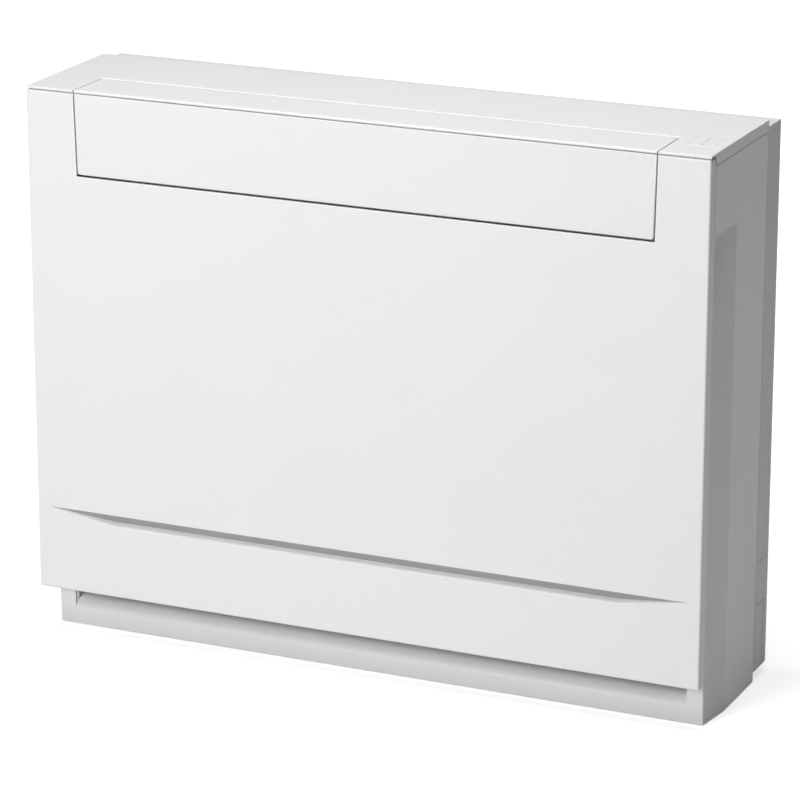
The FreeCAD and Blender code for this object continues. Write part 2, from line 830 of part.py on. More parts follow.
def make_plinth(part):
    """The plinth, set back under the panel: a low front wall, two end strips and their roofs."""
    reach = "half_width + overrun"
    step = rect(f"-({reach})", reach, "casing_front - overrun", "toe_front")
    pocket(part, "XY_Plane", "-overrun", "panel_bottom", step)
    pad(part, "XY_Plane", "0", "lip_foot", rect("-base_half", "base_half", "toe_front", "toe_inside"))
    pad(part, "XY_Plane", "0", "toe_roof", *pair("mouth_half", "base_half", "toe_front", "toe_inside"))
    roofs = pair("mouth_half", "base_half", "casing_front", "toe_inside")
    pad(part, "XY_Plane", "panel_bottom", "toe_roof", *roofs)


def make_lower_outlet_frame():
    """Frame of the lower outlet: a rounded lip, a ramp that rises to the rear, and two cheeks."""
    part = new_part("lower_outlet_frame")
    ramp = [
        ("toe_front", "lip_foot", "plinth_round", 1),
        ("toe_front + plinth_round", "plinth_edge"),
        ("ramp_rear", "ramp_top"),
        ("ramp_rear", "ramp_top - wall"),
        ("toe_front + plinth_round", "plinth_edge - wall", "plinth_round - wall", -1),
        ("toe_inside", "lip_foot"),
    ]
    pad(part, "YZ_Plane", "-mouth_half", "mouth_half", ramp)
    cheek = [
        ("toe_inside", "wall"),
        ("ramp_rear", "wall"),
        ("ramp_rear", "cheek_top"),
        ("casing_inside", "cheek_top"),
        ("casing_inside", "toe_roof"),
        ("toe_inside", "toe_roof"),
    ]
    pad(part, "YZ_Plane", "mouth_half", "mouth_half + wall", cheek)
    pad(part, "YZ_Plane", "-mouth_half - wall", "-mouth_half", cheek)
    bore = ("shutter_along", "shutter_axis", "shutter_pin_radius + running_fit")
    pocket(part, "YZ_Plane", "mouth_half", "mouth_half + wall", bore)
    pocket(part, "YZ_Plane", "-mouth_half - wall", "-mouth_half", bore)


def make_intake_grille():
    """Lattice of the air intake: a border that fills the casing's opening, with bars across it."""
    part = new_part("intake_grille")
    inner = "intake_half - lattice_bar"
    border = rect("-intake_half", "intake_half", "intake_bottom", "intake_top")
    opening = rect(f"-({inner})", inner, "intake_bottom + lattice_bar", "intake_top - lattice_bar")
    rear_half = ("casing_inside - lattice_wall", "casing_inside")
    pad(part, "XZ_Plane", *rear_half, border, opening)
    columns = []
    for index in range(1, int(value("lattice_column_count"))):
        across = f"-intake_half + lattice_across * {index}"
        columns.append(rect(f"{across} - lattice_bar / 2", f"{across} + lattice_bar / 2",
                            "intake_bottom + lattice_bar", "intake_top - lattice_bar"))
    pad(part, "XZ_Plane", *rear_half, *columns)
    rows = []
    for index in range(1, int(value("lattice_row_count"))):
        up = f"intake_bottom + lattice_up * {index}"
        rows.append(rect(f"-({inner})", inner, f"{up} - lattice_bar / 2", f"{up} + lattice_bar / 2"))
    pad(part, "XZ_Plane", *rear_half, *rows)


def make_casing_fittings(part):
    """Filter rails, panel hinge lugs, latch slots, screw holes, and the push button's hole and posts."""
    rail_low = "filter_bottom - fit - rail_width"
    rail_far = "filter_half + fit + rail_width"
    rails = [
        (f"-({rail_far})", rail_low),
        (rail_far, rail_low),
        (rail_far, f"{rail_low} + rail_height"),
        ("filter_half + fit", f"{rail_low} + rail_height"),
        ("filter_half + fit", "filter_bottom - fit"),
        ("-filter_half - fit", "filter_bottom - fit"),
        ("-filter_half - fit", f"{rail_low} + rail_height"),
        (f"-({rail_far})", f"{rail_low} + rail_height"),
    ]
    pad(part, "XZ_Plane", "casing_front - rail_depth", "casing_front", rails)
    lug = [
        ("casing_front", "hinge_up - hinge_lug_radius"),
        ("casing_front", "hinge_up + hinge_lug_radius"),
        ("hinge_along", "hinge_up + hinge_lug_radius", "hinge_lug_radius", -1),
        ("hinge_along - hinge_lug_radius", "hinge_up", "hinge_lug_radius", -1),
        ("hinge_along", "hinge_up - hinge_lug_radius"),
    ]
    lug_far = "hinge_lug_place + hinge_lug_width"
    pad(part, "YZ_Plane", "hinge_lug_place", lug_far, lug)
    pad(part, "YZ_Plane", f"-({lug_far})", "-hinge_lug_place", lug)
    bore = ("hinge_along", "hinge_up", "hinge_pin_radius + running_fit")
    pocket(part, "YZ_Plane", "hinge_lug_place - fit", f"{lug_far} + fit", bore)
    pocket(part, "YZ_Plane", f"-({lug_far} + fit)", "-hinge_lug_place + fit", bore)
    slot_half = "latch_width / 2 + latch_clearance"
    slots = pair(f"latch_place - ({slot_half})", f"latch_place + {slot_half}",
                 "latch_level - latch_height / 2 - latch_clearance",
                 "latch_level + latch_height / 2 + latch_clearance")
    holes = []
    for across in ("screw_place", "-screw_place"):
        for up in ("screw_low", "screw_high"):
            holes.append((across, up, "screw_shank_radius + running_fit"))
    button = ("button_across", "button_level", "button_radius + fit")
    pocket(part, "XZ_Plane", "casing_front - overrun", "casing_inside", *slots, *holes, button)
    posts = []
    for step in (-1, 1):
        posts.append(block("button_across", f"button_level + {step} * button_post_place", "post_width"))
    pad(part, "XZ_Plane", "casing_inside", "button_stop", *posts)


def make_rear_chassis():
    """Back wall and rear sides, lifted off the floor, with wall holes and the pipe hole."""
    part = new_part("rear_chassis")
    front = "casing_rear + chassis_seam"
    face = rect("-half_width", "half_width", "chassis_lift", "chassis_top")
    pad(part, "XZ_Plane", front, "rear_face", face)
    inner = "half_width - wall"
    hollow = rect(f"-({inner})", inner, "chassis_lift + wall", "chassis_top - wall")
    pocket(part, "XZ_Plane", f"{front} - overrun", "back_wall", hollow)
    holes = []
    for across in ("wall_hole_across", "-wall_hole_across"):
        for up in ("wall_hole_low", "wall_hole_high"):
            holes.append((across, up, "wall_hole_radius"))
    pipe_hole = ("(gas_pipe_across + liquid_pipe_across) / 2", "(gas_pipe_level + liquid_pipe_level) / 2",
                 "pipe_hole_radius")
    pocket(part, "XZ_Plane", "back_wall - overrun", "rear_face + overrun", *holes, pipe_hole)
    lines = []
    for up in ("knockout_low", "knockout_high"):
        lines.append(rect(f"{front} + wall", "rear_face + overrun", up, f"{up} + knockout_line"))
    lines.append(rect("rear_face - knockout_depth", "rear_face - knockout_depth + knockout_line",
                      "chassis_lift - overrun", "knockout_low - knockout_line"))
    pocket(part, "YZ_Plane", "half_width - knockout_cut", "half_width + overrun", *lines)
    pocket(part, "YZ_Plane", "-half_width - overrun", "-half_width + knockout_cut", *lines)
    beads = []
    pitch = "(wall_hole_high - bead_low) / (bead_count - 1)"
    for index in range(int(value("bead_count"))):
        low = f"bead_low + {index} * {pitch} - bead_width / 2"
        beads.append(rect("-half_width + bead_margin", "half_width - bead_margin", low, f"{low} + bead_width"))
    pocket(part, "XZ_Plane", "rear_face - bead_cut", "rear_face + overrun", *beads)


def make_upper_outlet_box():
    """Duct of the upper outlet: a floor, a guide that bends the air forward, and two side plates."""
    part = new_part("upper_outlet_box")
    side = [
        ("outlet_along", "outlet_floor"),
        ("bellmouth_rear", "outlet_floor"),
        ("back_wall", "guide_up", "guide_radius", -1),
        ("guide_along", "outlet_top"),
        ("outlet_along", "outlet_top"),
    ]
    pad(part, "YZ_Plane", "notch_half", "outlet_half", side)
    floor = rect("front_face + outlet_floor_front", "bellmouth_rear", "outlet_floor", "outlet_floor_top")
    guide = [
        ("back_wall", "guide_up", "guide_radius", -1),
        ("guide_along", "outlet_top"),
        ("guide_along", "outlet_top - duct_wall", "guide_radius - duct_wall", 1),
        ("back_wall - duct_wall", "guide_up"),
    ]
    pad(part, "YZ_Plane", "-notch_half", "notch_half", floor, guide)
    pad(part, "YZ_Plane", "-outlet_half", "-notch_half", side)
    pin = ("flap_pivot_along", "flap_pivot_up", "flap_pin_radius + running_fit")
    pocket(part, "YZ_Plane", "-outlet_half", "outlet_half", pin)
    bores = [(across, "vane_along", "vane_pin_radius + running_fit") for across in vane_places()]
    pocket(part, "XY_Plane", "outlet_floor", "outlet_floor_top", *bores)


def vane_places():
    """Where the vanes stand across the outlet, from left to right."""
    count = int(value("vane_group_count"))
    spots = []
    for side in (-1, 1):
        for index in range(count):
            step = index - (count - 1) / 2
            spots.append(f"{side} * vane_group + {step} * vane_pitch")
    return spots


def make_vanes():
    """Upright vanes on pivot pins, each with a drive pin behind its pivot."""
    count = int(value("vane_group_count"))
    for index, across in enumerate(vane_places()):
        side = "left" if index < count else "right"
        part = new_part(f"{side}_vane_{index % count + 1}")
        blade = rect("-vane_wall / 2", "vane_wall / 2", "-vane_front", "vane_rear")
        pad(part, "XY_Plane", "0", "vane_height", blade)
        pad(part, "XY_Plane", "-vane_lift + fit", "0", block("0", "0", "vane_collar"))
        pad(part, "XY_Plane", "-vane_lift - duct_wall", "-vane_lift + fit", ("0", "0", "vane_pin_radius"))
        pad(part, "XY_Plane", "-vane_lift + 2 * fit", "0", ("0", "drive_arm", "drive_pin_radius"))
        place(part, across, "vane_along", "vane_bottom")


def make_tie_bars():
    """A bar under each group of vanes, with a slot for each drive pin."""
    spots = vane_places()
    count = int(value("vane_group_count"))
    for side, group in (("left", spots[:count]), ("right", spots[count:])):
        part = new_part(f"{side}_tie_bar")
        slack = "drive_pin_radius + tie_slot_slack"
        front = "drive_along - tie_slot_run - drive_pin_radius - tie_bar_wall"
        plan = rect(f"{group[0]} - tie_bar_end", f"{group[-1]} + tie_bar_end", front, f"{front} + tie_bar_width")
        pad(part, "XY_Plane", "outlet_floor_top + fit", "outlet_floor_top + fit + tie_bar_wall", plan)
        slots = []
        for across in group:
            slots.append(rect(f"{across} - ({slack})", f"{across} + {slack}",
                              "drive_along - tie_slot_run - drive_pin_radius",
                              "drive_along + drive_pin_radius + tie_slot_slack"))
        pocket(part, "XY_Plane", "outlet_floor_top - overrun",
               "outlet_floor_top + fit + tie_bar_wall + overrun", *slots)


def make_lower_duct():
    """Duct of the lower outlet: a roof under the drip tray and a guide from the back wall to the ramp."""
    part = new_part("lower_duct")
    guide = [
        ("ramp_rear + fit", "ramp_top - wall", "lower_guide_radius", -1),
        ("back_wall", "lower_guide_top"),
        ("back_wall - duct_wall", "lower_guide_top", "lower_guide_radius - duct_wall", 1),
        ("ramp_rear + fit", "ramp_top"),
    ]
    roof = [
        ("casing_inside + fit", "lower_roof_front"),
        ("bellmouth_rear", "bellmouth_bottom - duct_wall"),
        ("bellmouth_rear", "bellmouth_bottom"),
        ("casing_inside + fit", "lower_roof_front + duct_wall"),
    ]
    pad(part, "YZ_Plane", "-mouth_half", "mouth_half", guide, roof)
    side = [
        ("ramp_rear + fit", "ramp_top - wall", "lower_guide_radius", -1),
        ("back_wall", "lower_guide_top"),
        ("bellmouth_rear", "bellmouth_bottom"),
        ("casing_inside + fit", "lower_roof_front + duct_wall"),
        ("casing_inside + fit", "lower_roof_front"),
        ("ramp_rear + fit", "lower_roof_front"),
    ]
    pad(part, "YZ_Plane", "mouth_half", "mouth_half + duct_wall", side)
    pad(part, "YZ_Plane", "-mouth_half - duct_wall", "-mouth_half", side)


def make_lower_shutter():
    """Shutter of the lower outlet: a plate under a hinge bead, with a pin at each end."""
    part = new_part("lower_shutter")
    half = "mouth_half - shutter_end_gap"
    plate = rect("-shutter_wall / 2 + shutter_along", "shutter_along + shutter_wall / 2",
                 "shutter_axis - shutter_drop", "shutter_axis")
    pad(part, "YZ_Plane", f"-({half})", half, plate)
    bead = ("shutter_along", "shutter_axis", "shutter_bead")
    pad(part, "YZ_Plane", f"-({half})", half, bead)
    pin = ("shutter_along", "shutter_axis", "shutter_pin_radius")
    pad(part, "YZ_Plane", half, "mouth_half + wall", pin)
    pad(part, "YZ_Plane", "-mouth_half - wall", f"-({half})", pin)


def make_fan():
    """Turbo fan: a back disc with a boss, backward-curved blades and a shroud with an inlet neck."""
    part = new_part("fan_rotor")
    bore = "shaft_radius + running_fit"
    hub = [
        (bore, "0"),
        ("fan_radius", "0"),
        ("fan_radius", "fan_disc"),
        ("fan_boss_radius", "fan_disc"),
        ("fan_boss_radius", "fan_boss_height"),
        (bore, "fan_boss_height"),
    ]
    turn(part, hub)
    blade = [
        ("fan_blade_inner", "0", "fan_blade_bow", -1),
        ("blade_tip_x", "blade_tip_y"),
        ("blade_tip_x + blade_shift_x", "blade_tip_y + blade_shift_y", "fan_blade_bow", 1),
        ("fan_blade_inner + blade_shift_x", "blade_shift_y"),
    ]
    blades = pad(part, "XY_Plane", "fan_disc", "fan_height", blade)
    repeat_round(part, blades, "fan_blade_count")
    shroud = [
        ("fan_eye", "fan_height - fan_disc"),
        ("fan_radius", "fan_height - fan_disc"),
        ("fan_radius", "fan_height"),
        ("fan_eye + fan_disc", "fan_height"),
        ("fan_eye + fan_disc", "fan_height + fan_neck"),
        ("fan_eye", "fan_height + fan_neck"),
    ]
    turn(part, shroud)
    place(part, "fan_across", "fan_rear", "fan_level", (1, 0, 0), 90)

    shaft = new_part("motor_shaft")
    nose = "fan_rear - fan_boss_height - nut_height - wall"
    pad(shaft, "XY_Plane", f"-(shaft_end - ({nose}))", "0", ("0", "0", "shaft_radius"))
    place(shaft, "fan_across", nose, "fan_level", (1, 0, 0), 90)

    nut = new_part("fan_nut")
    pad(nut, "XY_Plane", "0", "nut_height", hexagon("nut_across"), ("0", "0", bore))
    place(nut, "fan_across", "fan_rear - fan_boss_height", "fan_level", (1, 0, 0), 90)


def make_motor():
    """Fan motor with a stepped can and a bore for the shaft, and the bracket that holds it to the wall."""
    part = new_part("fan_motor")
    bore = "shaft_radius + running_fit"
    depth = "motor_rear - shaft_end - wall"
    can = [
        ("0", "0"),
        ("motor_radius", "0"),
        ("motor_radius", "motor_length - motor_shoulder"),
        ("motor_radius - motor_shoulder", "motor_length"),
        (bore, "motor_length"),
        (bore, depth),
        ("0", depth),
    ]
    turn(part, can)
    place(part, "fan_across", "motor_rear", "fan_level", (1, 0, 0), 90)

    bracket = new_part("motor_bracket")
    pad(bracket, "XY_Plane", "0", "bracket_wall", ("0", "0", "bracket_radius"))
    post = pad(bracket, "XY_Plane", "-(back_wall - motor_rear - bracket_wall)", "0",
               block("bracket_post_circle", "0", "bracket_post"))
    repeat_round(bracket, post, "bracket_post_count")
    place(bracket, "fan_across", "motor_rear + bracket_wall", "fan_level", (1, 0, 0), 90)


def make_bellmouth():
    """Partition between the heat exchanger and the fan, with a rounded inlet ring."""
    part = new_part("bellmouth_plate")
    ring_outer = "bellmouth_radius + bellmouth_lip"
    middle = "bellmouth_round * (1 - cos(45))"
    mouth = [
        ("bellmouth_radius", "-bellmouth_reach"),
        (ring_outer, "-bellmouth_reach"),
        (ring_outer, "-bellmouth_wall"),
        ("bellmouth_radius + bellmouth_round", "-bellmouth_wall"),
        ("bellmouth_radius + bellmouth_round", "0"),
        (f"bellmouth_radius + {middle}", f"-{middle}"),
        ("bellmouth_radius", "-bellmouth_round"),
    ]
    turn(part, mouth)
    corners = [
        ("-bellmouth_left", "bellmouth_bottom"),
        ("bellmouth_right", "bellmouth_bottom"),
        ("bellmouth_right", "box_bottom"),
        ("box_right", "box_bottom"),
        ("box_right", "outlet_floor"),
        ("-bellmouth_left", "outlet_floor"),
    ]
    plate = [(f"{across} - fan_across", f"{up} - fan_level") for across, up in corners]
    eye = ("0", "0", "bellmouth_radius + bellmouth_round - fit")
    pad(part, "XY_Plane", "-bellmouth_wall", "0", plate, eye)
    place(part, "fan_across", "bellmouth_front", "fan_level", (1, 0, 0), 90)


def make_scrolls():
    """Curved walls left and right of the fan, from the bellmouth plate to the back wall."""
    for label, place_across, side in (
        ("left_scroll", "fan_across - scroll_reach", -1),
        ("right_scroll", "fan_across + scroll_reach", 1),
    ):
        part = new_part(label)
        outer = f"{place_across} + {side} * scroll_wall"
        wall = [
            (place_across, "fan_level - scroll_half", "scroll_bow", side),
            (place_across, "fan_level + scroll_half"),
            (outer, "fan_level + scroll_half", "scroll_bow", -side),
            (outer, "fan_level - scroll_half"),
        ]
        pad(part, "XZ_Plane", "bellmouth_rear", "back_wall", wall)


def make_coil():
    """Heat exchanger: slotted fin block, two end plates and the return bends on its left."""
    fins = new_part("coil_fins")
    block = rect("-coil_left", "coil_right", "coil_along", "coil_rear")
    pad(fins, "XY_Plane", "coil_bottom", "coil_top", block)
    first = "-coil_left + fin_pitch / 2"
    slot = rect(f"{first} - fin_pitch * fin_slot_share / 2", f"{first} + fin_pitch * fin_slot_share / 2",
                "coil_along - overrun", "coil_rear - fin_back")
    cut = pocket(fins, "XY_Plane", "coil_bottom - overrun", "coil_top + overrun", slot)
    repeat_along(fins, cut, "X_Axis", "fin_pitch * (fin_count - 1)", "fin_count")

    plates = (("left_end_plate", "-coil_left - end_plate_wall", "-coil_left"),
              ("right_end_plate", "coil_right", "coil_right + end_plate_wall"))
    for label, low, high in plates:
        part = new_part(label)
        face = rect("coil_along - end_plate_margin", "coil_rear + end_plate_margin",
                    "pan_floor + pan_wall", "coil_top + end_plate_margin")
        pad(part, "YZ_Plane", low, high, face)

    bends = new_part("return_bends")
    pitch = "(coil_top - coil_bottom) / bend_count"
    tube = []
    for step in range(8):
        angle = 45 * step
        tube.append((f"bend_radius + bend_tube_radius * cos({angle})", f"bend_tube_radius * sin({angle})"))
    bend = turn(bends, tube, angle=180)
    repeat_along(bends, bend, "Z_Axis", f"{pitch} * (bend_count - 1)", "bend_count")
    place(bends, "-coil_left - end_plate_wall", "coil_along + coil_depth / 2", f"coil_bottom + {pitch} / 2",
          (0, 0, 1), 90)


def make_pipes():
    """Gas and liquid pipes from the heat exchanger to flare unions that point at the pipe hole."""
    for kind in ("gas", "liquid"):
        part = new_part(f"{kind}_pipe")
        across = f"{kind}_pipe_across"
        route = [
            ("coil_right + end_plate_wall", "pipe_along"),
            (f"{across} - pipe_bend", "pipe_along", "pipe_bend", -1),
            (across, "pipe_along + pipe_bend"),
            (across, "pipe_end"),
        ]
        spine = sketch(part, "XY_Plane", f"{kind}_pipe_level", [route], closed=False)
        section = ("pipe_along", f"{kind}_pipe_level", f"{kind}_pipe_radius")
        ring = sketch(part, "YZ_Plane", "coil_right + end_plate_wall", [section])
        pipe = part.newObject("PartDesign::AdditivePipe", f"{kind}_pipe_run")
        pipe.Profile = ring
        pipe.Spine = (spine, ["Edge1", "Edge2", "Edge3"])

        union = new_part(f"{kind}_union")
        pad(union, "XY_Plane", "0", "union_hex_length", hexagon(f"{kind}_union_across"))
        pad(union, "XY_Plane", "union_hex_length", "union_hex_length + union_thread_length",
            ("0", "0", f"{kind}_thread_radius"))
        place(union, across, "pipe_end", f"{kind}_pipe_level", (1, 0, 0), -90)


def make_drain_pan():
    """Drip tray under the heat exchanger, with a spout at its right end."""
    part = new_part("drain_pan")
    rear = "bellmouth_front"
    front = "casing_inside + fit"
    plan = rect("-pan_left", "pan_right", front, rear)
    pad(part, "XY_Plane", "pan_floor", "pan_floor + pan_height", plan)
    hollow = rect("-pan_left + pan_wall", "pan_right - pan_wall", f"{front} + pan_wall", f"{rear} - pan_wall")
    pocket(part, "XY_Plane", "pan_floor + pan_wall", "pan_floor + pan_height + overrun", hollow)
    middle = f"(({front}) + {rear}) / 2"
    spout = (middle, "pan_floor + spout_radius", "spout_radius")
    pad(part, "YZ_Plane", "pan_right", "pan_right + spout_length", spout)
    bore = (middle, "pan_floor + spout_radius", "spout_bore")
    pocket(part, "YZ_Plane", "pan_right - pan_wall", "pan_right + spout_length + overrun", bore)

    sensor = new_part("coil_sensor")
    pad(sensor, "XY_Plane", "0", "sensor_length", ("0", "0", "sensor_radius"))
    place(sensor, "coil_right + end_plate_wall", "coil_along + coil_depth / 2", "coil_top - sensor_length",
          (0, 1, 0), 90)


def make_filters():
    """Two air filters: each a border with ribs, backed by a thin net."""
    for label, low, high in (
        ("left_filter", "-filter_half", "-fit"),
        ("right_filter", "fit", "filter_half"),
    ):
        part = new_part(label)
        face = rect(low, high, "filter_bottom", "filter_top")
        pad(part, "XZ_Plane", "filter_front", "casing_front", face)
        across = f"(({high}) - ({low}) - 2 * filter_border) / filter_column_count"
        up = "(filter_top - filter_bottom - 2 * filter_border) / filter_row_count"
        windows = []
        for column in range(int(value("filter_column_count"))):
            left = f"{low} + filter_border + {column} * {across} + filter_bar / 2"
            for row in range(int(value("filter_row_count"))):
                bottom = f"filter_bottom + filter_border + {row} * {up} + filter_bar / 2"
                windows.append(rect(left, f"{left} + {across} - filter_bar",
                                    bottom, f"{bottom} + {up} - filter_bar"))
        pocket(part, "XZ_Plane", "filter_front - overrun", "casing_front - filter_net", *windows)


def make_control_box():
    """Electrical box at the right: a tray, its front cover, the circuit board and the terminal block."""
    tray = new_part("control_box")
    plan = rect("box_left", "box_right", "box_bottom", "box_top")
    pad(tray, "XZ_Plane", "box_along", "box_rear", plan)
    hollow = rect("box_left + box_wall", "box_right - box_wall", "box_bottom + box_wall", "box_top - box_wall")
    pocket(tray, "XZ_Plane", "box_along - overrun", "box_rear - box_wall", hollow)
    post_high = "box_rear - box_wall"
    posts = []
    for across in ("box_left + 2 * board_margin + box_wall", "box_right - 2 * board_margin - box_wall"):
        for up in ("box_bottom + 2 * board_margin + box_wall", "box_top - 2 * board_margin - box_wall"):
            posts.append(block(across, up, "post_width"))
    pad(tray, "XZ_Plane", f"{post_high} - board_post", post_high, *posts)

    cover = new_part("control_box_cover")
    pad(cover, "XZ_Plane", "box_along - box_wall", "box_along", plan)

    board = new_part("circuit_board")
    inset = "board_margin + box_wall"
    face = rect(f"box_left + {inset}", f"box_right - ({inset})", f"box_bottom + {inset}",
                f"box_top - ({inset})")
    rear = f"{post_high} - board_post"
    pad(board, "XZ_Plane", f"{rear} - board_wall", rear, face)
    chips = []
    pitch = f"(box_top - box_bottom - 2 * ({inset})) / chip_count"
    for index in range(int(value("chip_count"))):
        low = f"box_bottom + {inset} + ({index} + (1 - chip_share) / 2) * {pitch}"
        chips.append(rect(f"box_left + {inset} + board_margin", f"box_right - ({inset}) - board_margin",
                          low, f"{low} + {pitch} * chip_share"))
    pad(board, "XZ_Plane", f"{rear} - board_wall - chip_height", f"{rear} - board_wall", *chips)

    terminal = new_part("terminal_block")
    left = "(box_left + box_right - terminal_width) / 2"
    base = rect(left, f"{left} + terminal_width", "box_bottom - terminal_height", "box_bottom")
    pad(terminal, "XZ_Plane", "box_along", "box_along + terminal_depth", base)
    wells = []
    for index in range(int(value("terminal_count"))):
        across = f"{left} + terminal_width / terminal_count * {index + 0.5}"
        wells.append(block(across, "box_bottom - terminal_height / 2", "terminal_well"))
    pocket(terminal, "XZ_Plane", "box_along - overrun", "box_along + terminal_depth / 2", *wells)


def make_indicator_and_button():
    """Lamp board under the top cover, and the push button with its board behind the casing's front."""
    lamps = new_part("indicator_board")
    front = "front_face + indicator_front"
    face = rect("indicator_left", "indicator_right", front, f"{front} + indicator_depth")
    top = "height - cover_plate"
    pad(lamps, "XY_Plane", f"{top} - board_wall", top, face)
    dots = []
    for index in range(int(value("lamp_count"))):
        along = f"{front} + indicator_depth / lamp_count * {index + 0.5}"
        dots.append(block("(indicator_left + indicator_right) / 2", along, "lamp_width"))
    pad(lamps, "XY_Plane", f"{top} - board_wall - lamp_height", f"{top} - board_wall", *dots)

    button = new_part("auto_button")
    flange = "casing_inside + fit"
    pad(button, "XZ_Plane", "casing_front - button_proud", flange,
        ("button_across", "button_level", "button_radius"))
    pad(button, "XZ_Plane", flange, f"{flange} + button_flange_wall",
        ("button_across", "button_level", "button_flange_radius"))

    board = new_part("button_board")
    half = "button_board_half"
    face = rect(f"button_across - {half}", f"button_across + {half}",
                f"button_level - {half}", f"button_level + {half}")
    pad(board, "XZ_Plane", "button_stop", "button_stop + board_wall", face)


def make_flap_motors():
    """Geared motors outside the right-hand ends of the two flaps and the shutter."""
    for label, across, along, up, lean in (
        ("front_flap_motor", "outlet_half", "flap_pivot_along", "flap_pivot_up", (1, 0)),
        ("top_flap_motor", "notch_half + cover_rib", "top_pivot_along", "top_pivot_up", (0, -1)),
        ("shutter_motor", "mouth_half + wall", "shutter_along", "shutter_axis", (1, 0)),
    ):
        part = new_part(label)
        middle_along = f"{along} + {lean[0]} * flap_motor_offset"
        middle_up = f"{up} + {lean[1]} * flap_motor_offset"
        start = f"{across} + fit"
        pad(part, "YZ_Plane", start, f"{start} + flap_motor_length",
            (middle_along, middle_up, "flap_motor_radius"))
        ears = rect(f"{middle_along} - flap_motor_ear", f"{middle_along} + flap_motor_ear",
                    f"{middle_up} - flap_motor_radius - flap_motor_ear",
                    f"{middle_up} + flap_motor_radius")
        pad(part, "YZ_Plane", start, f"{start} + board_wall", ears)


def make_screws():
    """Screws of the front casing: round heads on shanks, all alike."""
    part = new_part("casing_screws")
    spots = []
    for across in ("screw_place", "-screw_place"):
        for up in ("screw_low", "screw_high"):
            spots.append((across, up))
    heads = [(across, up, "screw_head_radius") for across, up in spots]
    shanks = [(across, up, "screw_shank_radius") for across, up in spots]
    pad(part, "XZ_Plane", "casing_front - screw_head_height", "casing_front", *heads)
    pad(part, "XZ_Plane", "casing_front", "casing_front + screw_length", *shanks)


def check_model():
    """Stops if any object failed, any shape is bad, or a cut took nothing away."""
    for item in doc.Objects:
        if "Invalid" in item.State or "Error" in item.State:
            raise RuntimeError(f"{item.Name} failed: {item.State}")
        if item.TypeId in ("PartDesign::Pocket", "PartDesign::SubtractiveLoft"):
            if item.Shape.Volume >= item.BaseFeature.Shape.Volume:
                raise RuntimeError(f"{item.Name} cuts nothing")
    for part in PARTS:
        if part.Shape.isNull() or not part.Shape.isValid():
            raise RuntimeError(f"{part.Label} has no valid shape")


def main():
    fill_sheets()
    make_rear_chassis()
    make_front_casing()
    make_lower_outlet_frame()
    make_intake_grille()
    make_top_cover()
    make_upper_outlet_box()
    make_lower_duct()
    make_scrolls()
    make_bellmouth()
    make_fan()
    make_motor()
    make_coil()
    make_pipes()
    make_drain_pan()
    make_control_box()
    make_indicator_and_button()
    make_filters()
    make_flap_motors()
    make_screws()
    make_vanes()
    make_tie_bars()
    make_lower_shutter()
    make_front_flap()
    make_top_flap()
    make_front_panel()
    doc.recompute()
    check_model()
    os.makedirs("parts", exist_ok=True)
    for part in PARTS:
        part.Shape.exportStep(f"parts/{part.Label}.step")
        print(part.Label, len(part.Shape.Solids), round(part.Shape.Volume))


main()
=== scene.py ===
import json
import math

import bmesh
import bpy
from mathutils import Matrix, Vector


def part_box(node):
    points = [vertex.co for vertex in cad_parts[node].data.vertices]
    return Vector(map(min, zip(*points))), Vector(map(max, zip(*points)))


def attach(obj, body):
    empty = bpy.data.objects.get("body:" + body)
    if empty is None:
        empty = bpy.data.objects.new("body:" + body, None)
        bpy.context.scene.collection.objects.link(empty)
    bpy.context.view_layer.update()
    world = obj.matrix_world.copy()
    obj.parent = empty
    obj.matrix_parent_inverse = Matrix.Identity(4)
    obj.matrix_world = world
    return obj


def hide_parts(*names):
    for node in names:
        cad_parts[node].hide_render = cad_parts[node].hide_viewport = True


# The floor console air conditioner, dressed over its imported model. Lengths are metres, in the model's frame:
# X to the viewer's right, Y to the wall, Z up from the floor.
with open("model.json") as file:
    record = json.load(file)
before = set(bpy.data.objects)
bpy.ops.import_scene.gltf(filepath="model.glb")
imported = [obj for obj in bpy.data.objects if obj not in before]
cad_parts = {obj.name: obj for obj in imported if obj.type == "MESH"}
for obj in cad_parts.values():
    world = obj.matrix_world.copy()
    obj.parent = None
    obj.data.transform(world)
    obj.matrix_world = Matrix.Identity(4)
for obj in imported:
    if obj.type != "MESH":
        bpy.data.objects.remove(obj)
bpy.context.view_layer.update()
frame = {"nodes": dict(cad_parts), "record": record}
NODES = frame["nodes"]
SLOT_OF_NODE = {entry["node"]: entry["material_slot"] for entry in frame["record"]["subparts"]}
BODY_OF_NODE = {
    node: body for body, nodes in frame["record"]["behaviour"]["bodies"].items() for node in nodes
}

# Axes, as places in a coordinate, and the finishes of a piece that has two.
X, Y, Z = range(3)
MAIN_FINISH, SECOND_FINISH = range(2)

# Camera, from the photograph's converging edges.
CAMERA_PLACE = Vector((1.5862, -3.5306, 1.4941))
CAMERA_YAW = math.radians(24.17)
CAMERA_PITCH = math.radians(17.44)
IMAGE_WIDTH_PX = 800
FOCAL_LENGTH_PX = 3893
SENSOR_WIDTH_MM = 36

